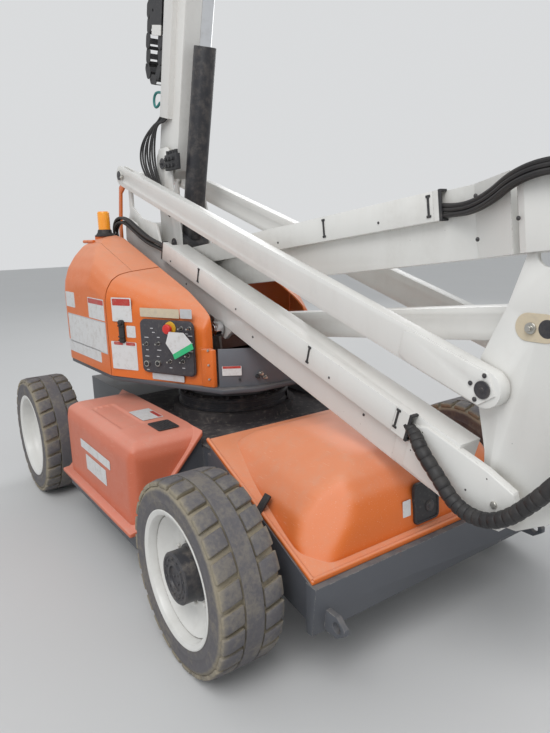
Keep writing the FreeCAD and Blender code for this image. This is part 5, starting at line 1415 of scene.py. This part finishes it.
class DRESS_OT_structure(bpy.types.Operator):
    """Rounds the welded edges of the frame, the booms, the links and the cylinders"""
    bl_idname = "dress.structure"
    bl_label = "Frame, booms and links"

    def taper(self, boom):
        """Slants the collar of the upper boom, which widens from the beam to the knuckle."""
        for side in (-1, 1):
            wedge = outline("wedge", ((1.990, side * 0.0625), (2.025, side * 0.0640),
                                      (2.270, side * 0.1860), (2.270, side * 0.2100),
                                      (1.990, side * 0.2100)), "XY", -0.140, 0.140)
            laid(wedge, UPPER)
            modify(boom, "BOOLEAN", operation="DIFFERENCE", object=wedge, solver="EXACT")
            choose(wedge)
            bpy.ops.object.delete()
        return smooth(boom, 30)

    def sunken(self, console):
        """Cuts the platform console's desk into its case, open to the operator's side."""
        low, high = (Vector(corner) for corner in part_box("platform_controls"))
        pit = block("pit", (low.x - 0.010, low.y + 0.010, high.z - DESK_DROP),
                    (high.x - 0.010, high.y - 0.010, high.z + 0.010))
        modify(console, "BOOLEAN", operation="DIFFERENCE", object=pit, solver="EXACT")
        choose(pit)
        bpy.ops.object.delete()
        return smooth(console, 30)

    def execute(self, context):
        for width, nodes in SHARPNESS:
            for node in nodes.split():
                if node in SPLIT_NODES:
                    continue
                thing = refined(node, FINISH_OF[node], BODY_OF[node], width)
                if node == "upper_boom":
                    self.taper(thing)
                if node == "platform_controls":
                    self.sunken(thing)
        post = refined("turntable_risers", "boom_white", "turntable", 0.004, tail="_post")
        plates = copied(post, "turntable_risers_plates", Matrix.Identity(4))
        opened(post, ((0, 0, RISER_SPLIT), (0, 0, -1)))
        opened(plates, ((0, 0, RISER_SPLIT), (0, 0, 1)))
        keep(post, "boom_white", "turntable", "turntable_risers")
        keep(plates, "boom_white", "turntable")
        return {"FINISHED"}


TRAYS = (
    # lay, body, outer face, inner face, low, high, rear end, old front end, new front end
    ("lower", LOWER, "lower_boom", -0.230, -0.199, 0.006, 0.101, 0.510, 2.327, 2.392),
    ("upper", UPPER, "upper_boom", -0.092, -0.061, 0.020, 0.115, 0.200, 1.890, 1.915),
)
CLIPS = (
    # lay, body, along, up, face
    (LOWER, "lower_boom", 0.930, 0.060, -0.230),
    (LOWER, "lower_boom", 1.847, 0.060, -0.230),
    (LOWER, "lower_boom", 2.340, 0.060, -0.230),
    (UPPER, "upper_boom", 0.700, 0.070, -0.092),
    (UPPER, "upper_boom", 1.339, 0.070, -0.092),
    (UPPER, "upper_boom", 1.870, 0.070, -0.092),
)
SMALL_BOLTS = (
    # lay, body, along, up, face, radius
    (LOWER, "lower_boom", 2.415, -0.024, -0.208, 0.0050),
    (LOWER, "lower_boom", 2.647, -0.018, -0.208, 0.0060),
    (LOWER, "lower_boom", 2.699, 0.060, -0.208, 0.0050),
    (LOWER, "lower_boom", 2.440, 0.062, -0.208, 0.0050),
    (LOWER, "lower_boom", 2.169, -0.033, -0.200, 0.0050),
    (LOWER, "lower_boom", 1.420, -0.060, -0.200, 0.0050),
    (LOWER, "lower_boom", 0.760, -0.050, -0.200, 0.0050),
    (LOWER, "lower_boom", 1.985, 0.030, -0.230, 0.0045),
    (LOWER, "lower_boom", 1.300, 0.030, -0.230, 0.0045),
    (LOWER, "lower_boom", 0.620, 0.030, -0.230, 0.0045),
    (UPPER, "upper_boom", 1.640, 0.050, -0.092, 0.0045),
    (UPPER, "upper_boom", 1.020, 0.050, -0.092, 0.0045),
    (UPPER, "upper_boom", 2.120, 0.060, -0.185, 0.0060),
    (UPPER, "upper_boom", 2.120, -0.060, -0.185, 0.0060),
    (UPPER, "upper_boom", 2.250, -0.020, -0.185, 0.0060),
)


class DRESS_OT_tower_fittings(bpy.types.Operator):
    """Adds the tray ends, clips, bolts, pin discs, lugs and lines of the tower"""
    bl_idname = "dress.tower_fittings"
    bl_label = "Tower fittings"

    def trough(self, name, tray, start, end, grow=0.0):
        """A short length of tray wall, open towards the boom."""
        outer, inner, low, high = tray[3] - grow, tray[4], tray[5] - grow, tray[6] + grow
        wall = 0.003 + 2 * grow
        points = ((outer, low), (inner, low), (inner, low + wall), (outer + wall, low + wall),
                  (outer + wall, high - wall), (inner, high - wall), (inner, high), (outer, high))
        return outline(name, points, "YZ", start, end)

    def clip(self, along, up, face):
        bar = block("clip", (along - 0.0035, face - 0.005, up - 0.034),
                    (along + 0.0035, face + 0.001, up + 0.034))
        ends = [block("clip", (along - 0.009, face - 0.004, up + end - 0.004),
                      (along + 0.009, face + 0.001, up + end + 0.004))
                for end in (-0.032, 0.032)]
        return joined("clip", soften(bar, 0.0012, 1), *(soften(end, 0.0012, 1) for end in ends))

    def bolt(self, name, spot, radius, side=-1, corners=6):
        along, face, up = spot
        washer = drum(name, radius * 1.7, radius * 0.5, (along, face + side * radius * 0.25, up), "Y", 18)
        head = drum(name, radius, radius * 1.2, (along, face + side * radius * 0.9, up), "Y", corners)
        return joined(name, smooth(washer), soften(head, radius * 0.12, 1))

    def pin_end(self, name, lay, along, face, body, side, spots):
        """The end of a pin: a dark disc in a pale ring, and the bolts of its keeper."""
        disc = drum(name, 0.0265, 0.004, (along, face + side * 0.002, 0), "Y", 40)
        disc = soften(disc, 0.001, 1)
        dimple = drum(name, 0.007, 0.003, (along, face + side * 0.005, 0), "Y", 20)
        keep(laid(joined(name, disc, smooth(dimple)), lay), "axle_black", body)
        bolts = []
        for out, turn in spots:
            swing = math.radians(turn)
            spot = (along + out * math.cos(swing), face, out * math.sin(swing))
            bolts.append(self.bolt(name, spot, 0.0042, side))
        if bolts:
            keep(laid(joined(name + "_bolts", *bolts), lay), "axle_black", body)

    def execute(self, context):
        for tray in TRAYS:
            name, lay, body, rear, old, new = tray[0], tray[1], tray[2], tray[7], tray[8], tray[9]
            keep(laid(self.trough(name + "_tray_end", tray, old - 0.001, new), lay), "boom_white", body)
            for word, start in (("front", new - 0.004), ("rear", rear - 0.006)):
                trim = self.trough(name + "_tray_trim_" + word, tray, start, start + 0.011, 0.002)
                keep(laid(soften(trim, 0.001, 1), lay), "black", body)
        for index, (lay, body, along, up, face) in enumerate(CLIPS):
            keep(laid(self.clip(along, up, face), lay), "black", body).name = "tray_clip_%d" % index
        for index, (lay, body, along, up, face, radius) in enumerate(SMALL_BOLTS):
            screw = laid(self.bolt("bolt", (along, face, up), radius * 0.62), lay)
            keep(screw, "axle_black", body).name = "boom_bolt_%d" % index
        knuckle_pin = pin("upper_boom_turn")
        upright_pins = (pin("main_boom_lift"), pin("lift_barrel_turn"), pin("upright_turn"),
                        pin("upper_link_turn") + pin("upright_turn") - knuckle_pin)
        for side, word in ((-1, "right"), (1, "left")):
            link = "side_link_" + word
            self.pin_end("link_pin_front_" + word, LINK, LINK.length, side * 0.2240, "knuckle", side,
                         ((0.043, 180), (0.043, 100), (0.041, 250)))
            self.pin_end("link_pin_rear_" + word, LINK, 0.0, side * 0.2240, "turntable", side, ())
            strap = block("strap", (-0.030, side * 0.2240, -0.012), (0.058, side * 0.2270, 0.012))
            strap = soften(strap, 0.001, 1)
            head = self.bolt("strap", (0.048, side * 0.2265, 0), 0.007, side)
            keep(laid(joined("link_keeper_" + word, strap, head), LINK), "zinc", link)
            hub = self.bolt("hub", (LOWER.length, side * 0.2000, 0), 0.012, side)
            keep(laid(joined("front_hub_bolt_" + word, hub), LOWER), "zinc", "lower_boom")
            pocket = outline("pocket", rounded(0.128, 0.078, 0.0385, 8), "XZ", 0, 0.0022)
            face = side * 0.1652 - (0.0022 if side < 0 else 0)
            pocket.matrix_world = Matrix.Translation((1.884, face, 1.270))
            keep(soften(settle(pocket), 0.0008, 1), "label_beige", "knuckle").name = "knuckle_pocket_" + word
            dark = drum("dark", 0.026, 0.0036, (1.915, side * 0.1660, 1.270), "Y", 36)
            keep(soften(dark, 0.001, 1), "axle_black", "knuckle").name = "knuckle_port_" + word
            cheek = joined("cheek", drum("cheek", 0.016, 0.006, (1.868, side * 0.1680, 1.268), "Y", 28),
                           self.bolt("cheek", (1.868, side * 0.1700, 1.268), 0.009, side))
            keep(cheek, "zinc", "knuckle").name = "knuckle_bolt_" + word
            near, far = sorted((side * 0.048, side * 0.060))
            lug = outline("lug", ((0.930, -0.106), (1.150, -0.106), (1.112, -0.126), (1.085, -0.146),
                                  (1.040, -0.152), (0.995, -0.146), (0.968, -0.126)), "XZ", near, far)
            hole = drum("hole", 0.016, 0.050, (1.040, side * 0.054, -0.124), "Y", 24)
            modify(lug, "BOOLEAN", operation="DIFFERENCE", object=hole, solver="EXACT")
            choose(hole)
            bpy.ops.object.delete()
            lug = laid(soften(lug, 0.0015, 1), UPPER)
            keep(lug, "boom_white", "upper_boom").name = "upper_boom_lug_" + word
            ring = drum("ring", 0.046, 0.005, (knuckle_pin.x, side * 0.1665, knuckle_pin.z), "Y", 40)
            keep(joined("knuckle_ring_" + word, soften(ring, 0.0015, 1)), "boom_white", "knuckle")
            for index, spot in enumerate(upright_pins):
                cap = drum("cap", 0.030, 0.006, (spot.x, side * 0.1105, spot.z), "Y", 36)
                head = self.bolt("cap", (spot.x, side * 0.1130, spot.z), 0.008, side)
                cap = joined("cap", soften(cap, 0.0015, 1), head)
                keep(cap, "axle_black", "upright").name = "upright_pin_%d_%s" % (index, word)
        # The valve block at the main boom's foot, with its screwed fittings
        case = soften(block("case", (-0.420, -0.128, 1.884), (-0.280, -0.0995, 1.966)), 0.004, 2)
        fits = [drum("fit", 0.011, 0.022, (x, -0.114, 1.975), "Z", 6)
                for x in (-0.400, -0.365, -0.330, -0.300)]
        side_fits = [drum("fit", 0.010, 0.014, (x, -0.134, z), "Y", 6)
                     for x in (-0.390, -0.350, -0.310) for z in (1.906, 1.941)]
        keep(joined("foot_valve", case, *fits, *side_fits), "black", "upright")
        guard = outline("guard", ((-1.095, 1.500), (-1.052, 1.500), (-1.050, 1.600), (-1.008, 1.800),
                                  (-0.900, 1.860), (-0.880, 1.890), (-0.905, 1.912), (-1.035, 1.842),
                                  (-1.090, 1.610)), "XZ", -0.1640, -0.1510)
        guard = soften(guard, 0.003, 2)
        for word, way in (("right", Matrix.Identity(4)), ("left", MIRROR)):
            keep(copied(guard, "riser_arm_" + word, way), "rail_orange", "turntable")
        choose(guard)
        bpy.ops.object.delete()
        nose = outline("nose", ((2.395, -0.095), (2.690, -0.106), (2.790, -0.065), (2.825, 0.0),
                                (2.790, 0.068), (2.690, 0.082), (2.450, 0.088), (2.395, 0.060)),
                       "XZ", -0.2125, -0.1900)
        keep(laid(soften(nose, 0.004, 3), LOWER), "boom_white", "lower_boom").name = "boom_nose_casting"
        return {"FINISHED"}


def spanning(thing, finish):
    """A finished hose that runs between two bodies; it gets its material but no body."""
    thing.data.materials.clear()
    thing.data.materials.append(FINISHES[finish])
    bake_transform(thing)
    return thing


def spline(points, share):
    """A place on a smooth line through the points, by its share of the way."""
    place = share * (len(points) - 1)
    index = min(int(place), len(points) - 2)
    rest = place - index
    before, first = points[max(index - 1, 0)], points[index]
    second, after = points[index + 1], points[min(index + 2, len(points) - 1)]
    return 0.5 * (2 * first + (second - before) * rest
                  + (2 * before - 5 * first + 4 * second - after) * rest ** 2
                  + (3 * first - before - 3 * second + after) * rest ** 3)


def grooved(name, points, radius, pitch, first=1.0):
    """A bundle in a spiral sleeve: a smooth run whose thickness dips at every gap of the sleeve."""
    length = sum((spline(points, (step + 1) / 60) - spline(points, step / 60)).length for step in range(60))
    rings = int(length / pitch)
    run, sizes = [], []
    for index in range(rings):
        for part, size in ((0.00, 0.88), (0.07, 1.0), (0.50, 1.0), (0.92, 1.0), (0.985, 0.88)):
            share = (index + part) / rings
            run.append(spline(points, share))
            sizes.append(size * (first + (1 - first) * min(share * 8, 1.0)))
    return strung(name, run, radius, 1, 16, sizes)


class DRESS_OT_hoses(bpy.types.Operator):
    """Strings the hose bundles over the tower's pins and at the main boom's foot"""
    bl_idname = "dress.hoses"
    bl_label = "Hoses"

    def execute(self, context):
        low = [LOWER.at(*spot) for spot in ((2.372, -0.2145, 0.054), (2.420, -0.226, 0.050))]
        low += [Vector(spot) for spot in ((1.565, -0.243, 0.848), (1.632, -0.245, 0.784),
                                          (1.692, -0.245, 0.727), (1.749, -0.245, 0.704),
                                          (1.818, -0.245, 0.708), (1.882, -0.245, 0.743),
                                          (1.939, -0.243, 0.798), (1.993, -0.242, 0.861),
                                          (2.085, -0.226, 0.985), (2.165, -0.212, 1.130),
                                          (2.205, -0.200, 1.280))]
        bundle = grooved("knuckle_bundle_low", low, 0.0245, 0.036, 0.58)
        spanning(bundle, "rubber")
        clamp = soften(block("clamp", (2.165, -0.226, 1.262), (2.235, -0.166, 1.298)), 0.006, 2)
        keep(joined("clamp", clamp), "black", "knuckle").name = "bundle_clamp"
        for index in range(6):
            across, lift = -0.0140 * (index // 3), 0.0150 * (index % 3) + 0.003 * math.sin(index * 2.3)
            run = [UPPER.at(*spot) for spot in (
                (1.800, -0.0765, 0.034 + lift * 1.3), (1.905, -0.0768, 0.034 + lift * 1.3),
                (1.965, -0.082 + across * 0.6, 0.030 + lift),
                (2.040, -0.098 + across, 0.026 + lift), (2.145, -0.146 + across, 0.038 + lift),
                (2.253, -0.198 + across, 0.070 + lift), (2.346, -0.206 + across, 0.082 + lift),
                (2.450, -0.204 + across, 0.066 + lift), (2.550, -0.200 + across, 0.006 + lift * 0.5))]
            run += [Vector((2.180 + 0.011 * (index % 3), -0.197 + across, z)) for z in (1.460, 1.290)]
            cable = strung("knuckle_bundle_high_%d" % index, run, 0.0072, 8, 12)
            spanning(cable, "rubber")
        for index in range(4):
            lift, out = 0.026 * (index % 2), -0.019 * (index // 2)
            base = [LOWER.at(0.620, -0.214, 0.050 + lift * 0.6),
                    LOWER.at(0.500, -0.218 + out * 0.3, 0.055 + lift)]
            base += [Vector((x, -0.212 + out, z + lift)) for x, z in (
                (-0.502, 1.496), (-0.679, 1.565), (-0.794, 1.612), (-0.925, 1.628), (-1.012, 1.575),
                (-0.985, 1.480), (-0.930, 1.380))]
            line = strung("rear_hub_hose_%d" % index, base, 0.0088, 8, 12)
            spanning(line, "rubber")
        for index in range(7):
            swing = index / 6
            jig = 0.010 * math.sin(index * 2.6)
            loop = [MAIN.at(0.300, -0.080 - 0.003 * (index % 3), -0.015 + 0.012 * index),
                    MAIN.at(0.225, -0.090 - 0.004 * (index % 3), 0.000 + 0.014 * index),
                    Vector((-0.520 - 0.100 * swing, -0.112, 2.150 - 0.020 * swing + jig)),
                    Vector((-0.560 - 0.190 * swing, -0.116, 2.060 + jig)),
                    Vector((-0.570 - 0.205 * swing, -0.118, 1.965 + jig)),
                    Vector((-0.545 - 0.150 * swing, -0.118, 1.870)),
                    Vector((-0.500 - 0.075 * swing, -0.116, 1.790)),
                    Vector((-0.462 - 0.020 * swing, -0.112, 1.715)), Vector((-0.440, -0.108, 1.640))]
            line = strung("foot_hose_%d" % index, loop, 0.0058, 8, 12)
            spanning(line, "rubber")
        hook = [MAIN.at(*spot) for spot in (
            (0.360, -0.070, 0.116), (0.365, -0.078, 0.170), (0.335, -0.080, 0.205), (0.290, -0.080, 0.200),
            (0.275, -0.080, 0.160), (0.310, -0.074, 0.135))]
        hose("foot_hook", hook, 0.0075, "teal", "base_boom", 8, 12)
        return {"FINISHED"}


class DRESS_OT_power_track(bpy.types.Operator):
    """Lays the links of the hose carrier along the main boom and round its loop"""
    bl_idname = "dress.power_track"
    bl_label = "Power track"

    PITCH, LOW, HIGH, BEND = 0.0760, 0.1420, 0.3000, 0.0790

    def link(self):
        plates = [outline("plate", rounded(0.0840, 0.0520, 0.0230), "XZ", low, high)
                  for low, high in ((-0.040, -0.035), (0.035, 0.040))]
        bars = [block("bar", (-0.014, -0.036, low), (0.014, 0.036, high))
                for low, high in ((-0.0260, -0.0215), (0.0215, 0.0260))]
        pins = [drum("pin", 0.0095, 0.084, (place, 0, 0), "Y", 14) for place in (-0.0340,)]
        return joined("link", *(soften(plate, 0.0012, 1) for plate in plates), *bars, *pins)

    def execute(self, context):
        master = self.link()
        spots = []
        count = int((2.880 - 0.500) / self.PITCH)
        spots += [(0.500 + self.PITCH * (index + 0.5), self.LOW, 0.0) for index in range(count)]
        for index in range(3):
            turn = math.pi * (index + 0.5) / 3
            spots.append((0.500 - self.BEND * math.sin(turn), 0.2210 - self.BEND * math.cos(turn), -turn))
        count = int((2.480 - 0.500) / self.PITCH)
        spots += [(0.500 + self.PITCH * (index + 0.5), self.HIGH, 0.0) for index in range(count)]
        chain = []
        for index, (along, up, turn) in enumerate(spots):
            place = Matrix.Translation((along, -0.046, up)) @ Matrix.Rotation(-turn, 4, "Y")
            slim = Matrix.Diagonal((1.0, 1.0 if index % 2 else 0.90, 1.0, 1.0))
            chain.append(copied(master, "link_%d" % index, place @ slim))
        choose(master)
        bpy.ops.object.delete()
        keep(laid(joined("track_chain", *chain), MAIN), "black", "base_boom", "power_track")
        panel = outline("panel", ((0.690, 0.112), (2.560, 0.112), (2.560, 0.262), (0.690, 0.262)), "XZ",
                        -0.0960, -0.0930)
        row = [drum("hole", 0.0085, 0.020, (0.760 + 0.120 * index, -0.0945, 0.225), "Y", 16)
               for index in range(15)]
        holes = joined("holes", *row)
        modify(panel, "BOOLEAN", operation="DIFFERENCE", object=holes, solver="EXACT")
        choose(holes)
        bpy.ops.object.delete()
        keep(laid(panel, MAIN), "black", "base_boom").name = "track_panel"
        bracket = outline("bracket", ((2.470, 0.112), (2.500, 0.112), (2.500, 0.335), (2.380, 0.335),
                                      (2.380, 0.328), (2.470, 0.285)),
                          "XZ", -0.092, 0.000)
        keep(laid(soften(bracket, 0.002, 1), MAIN), "boom_white", "base_boom").name = "track_bracket"
        guard = outline("guard", ((0.640, 0.112), (0.690, 0.112), (0.690, 0.225), (0.640, 0.225)), "XZ",
                        -0.0985, -0.0930)
        keep(laid(soften(guard, 0.001, 1), MAIN), "boom_white", "base_boom").name = "track_guard"
        return {"FINISHED"}


class DRESS_OT_chassis_fittings(bpy.types.Operator):
    """Adds the slew ring's bolts, the front sheet's fittings, the deck's hook and the nose's studs"""
    bl_idname = "dress.chassis_fittings"
    bl_label = "Chassis and turntable fittings"

    def execute(self, context):
        ring = lathe("slew_band", ((0.262, 0.0), (0.296, 0.0), (0.300, 0.004), (0.300, 0.018),
                                   (0.292, 0.022), (0.292, 0.044), (0.300, 0.048), (0.300, 0.060),
                                   (0.294, 0.066), (0.262, 0.066)), steps=96)
        ring.matrix_world = Matrix.Translation((0, 0, 0.6515)) @ Matrix.Rotation(math.pi / 2, 4, "X")
        keep(settle(ring), "axle_black", "chassis")
        heads = []
        for index in range(24):
            turn = math.tau * (index + 0.5) / 24
            spot = (0.276 * math.cos(turn), 0.276 * math.sin(turn), 0.7225)
            head = drum("head", 0.010, 0.010, spot, "Z", 6)
            heads.append(head)
        keep(joined("slew_bolts", *heads), "axle_black", "chassis")
        sheet = Face((0.4560 * math.cos(-0.60), 0.4560 * math.sin(-0.60), 0), (0.565, 0.825, 0))
        keep(sheet.plate("sheet_notice", 0.026, 0.905, 0.092, 0.046, 0.0012, 0.003, 0.0022), "label",
             "turntable")
        keep(sheet.plate("sheet_notice_head", 0.026, 0.922, 0.086, 0.011, 0.0008, 0.002, 0.0034),
             "label_red", "turntable")
        keep(smooth(sheet.knob("sheet_plug", 0.062, 0.862, 0.006, 0.004)), "black", "turntable")
        for index, (turn, up) in enumerate(((-0.28, 0.870), (-0.20, 0.864), (-0.24, 0.884))):
            spot = Face((0.4555 * math.cos(turn), 0.4555 * math.sin(turn), 0),
                        (-math.sin(turn), math.cos(turn), 0))
            nut = soften(spot.knob("nut", 0.0, up, 0.011, 0.012, 0.0, None, 6), 0.001, 1)
            stub = spot.knob("stub", 0.0, up, 0.0065, 0.030, 0.0, None, 16)
            keep(joined("sheet_fitting_%d" % index, nut, smooth(stub)), "zinc" if index else "black",
                 "turntable")
        hook = outline("hook", ((0.168, 0.650), (0.236, 0.650), (0.222, 0.700), (0.214, 0.712),
                                (0.198, 0.712), (0.190, 0.700)),
                       "XZ", 0.199, 0.211)
        keep(soften(hook, 0.003, 2), "axle_black", "chassis").name = "deck_hook"
        nose = []
        for across in (-0.44, -0.22, 0.0, 0.22, 0.44):
            head = drum("stud", 0.008, 0.006, (1.4425, across, 0.395), "X", 6)
            nose.append(head)
        keep(joined("nose_studs", *nose), "zinc", "chassis")
        return {"FINISHED"}


class DRESS_OT_platform_fittings(bpy.types.Operator):
    """Adds the levers, buttons, foot pedal and tread bars of the platform"""
    bl_idname = "dress.platform_fittings"
    bl_label = "Platform fittings"

    def execute(self, context):
        low, high = (Vector(corner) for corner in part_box("platform_controls"))
        desk = high.z - DESK_DROP
        for index, across in enumerate((-0.150, 0.0, 0.150)):
            spot = (low.x + 0.060, across, desk)
            boot = lathe("boot", ((0.0, 0.0), (0.030, 0.0), (0.027, 0.006), (0.029, 0.010), (0.022, 0.018),
                                  (0.024, 0.022), (0.014, 0.032), (0.0, 0.034)), steps=28)
            boot.matrix_world = Matrix.Translation(spot) @ Matrix.Rotation(math.pi / 2, 4, "X")
            settle(boot)
            stick = drum("stick", 0.010, 0.070, (spot[0], across, desk + 0.060), "Z", 18, 0.014)
            grip = soften(drum("grip", 0.017, 0.022, (spot[0], across, desk + 0.100), "Z", 20), 0.006, 3)
            keep(joined("joystick_%d" % index, boot, smooth(stick), grip), "black", "platform")
        for index, across in enumerate((-0.090, -0.060, 0.060, 0.090)):
            knob = soften(drum("knob", 0.010, 0.014, (high.x - 0.040, across, desk + 0.006), "Z", 20),
                          0.002, 2)
            keep(knob, "zinc", "platform").name = "platform_switch_%d" % index
        stop = soften(drum("stop", 0.022, 0.024, (high.x - 0.040, 0.0, desk + 0.012), "Z", 32), 0.006, 3)
        keep(stop, "red", "platform").name = "platform_stop"
        low, high = (Vector(corner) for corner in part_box("platform_floor"))
        deck = 5.4378
        bars = []
        x0, x1 = 2.3392 + 0.045, 2.3392 + 0.76 - 0.045
        for index in range(21):
            across = -0.700 + 0.070 * index
            bar = outline("bar", ((across - 0.006, deck - 0.002), (across + 0.006, deck - 0.002),
                                  (across + 0.003, deck + 0.005),
                                  (across - 0.003, deck + 0.005)), "YZ", x0, x1)
            bars.append(bar)
        keep(joined("tread_bars", *bars), "sheet_grey", "platform")
        pedal = outline("pedal", ((2.66, deck + 0.002), (2.86, deck + 0.002), (2.86, deck + 0.060),
                                  (2.845, deck + 0.066), (2.67, deck + 0.030),
                                  (2.66, deck + 0.020)), "XZ", 0.30, 0.42)
        keep(soften(pedal, 0.004, 2), "yellow", "platform").name = "foot_pedal"
        return {"FINISHED"}


GROUPS = (LookSizes, StageSizes)
OPERATORS = (DRESS_OT_stage, DRESS_OT_finishes, DRESS_OT_structure, DRESS_OT_wheels, DRESS_OT_side_hoods,
             DRESS_OT_control_panel, DRESS_OT_battery_covers, DRESS_OT_charger_hood, DRESS_OT_tower_fittings,
             DRESS_OT_hoses, DRESS_OT_power_track, DRESS_OT_chassis_fittings, DRESS_OT_platform_fittings)


class DRESS_PT_sidebar(bpy.types.Panel):
    """Lists the colours, the sizes and every step of the dressing"""
    bl_idname = "DRESS_PT_sidebar"
    bl_label = "Boom lift"
    bl_space_type = "VIEW_3D"
    bl_region_type = "UI"
    bl_category = "Boom lift"

    def draw(self, context):
        column = self.layout.column()
        for group in (context.scene.look_sizes, context.scene.stage_sizes):
            for word in group.bl_rna.properties.keys():
                if word not in ("rna_type", "name"):
                    column.prop(group, word)
        for operator in OPERATORS:
            column.operator(operator.bl_idname)


def register():
    for kind in (*GROUPS, *OPERATORS, DRESS_PT_sidebar):
        bpy.utils.register_class(kind)
    bpy.types.Scene.look_sizes = bpy.props.PointerProperty(type=LookSizes)
    bpy.types.Scene.stage_sizes = bpy.props.PointerProperty(type=StageSizes)


def unregister():
    del bpy.types.Scene.look_sizes
    del bpy.types.Scene.stage_sizes
    for kind in reversed((*GROUPS, *OPERATORS, DRESS_PT_sidebar)):
        bpy.utils.unregister_class(kind)


def main():
    register()
    for operator in OPERATORS:
        step = operator.bl_idname.split(".")[1]
        getattr(bpy.ops.dress, step)()


if __name__ == "__main__":
    main()
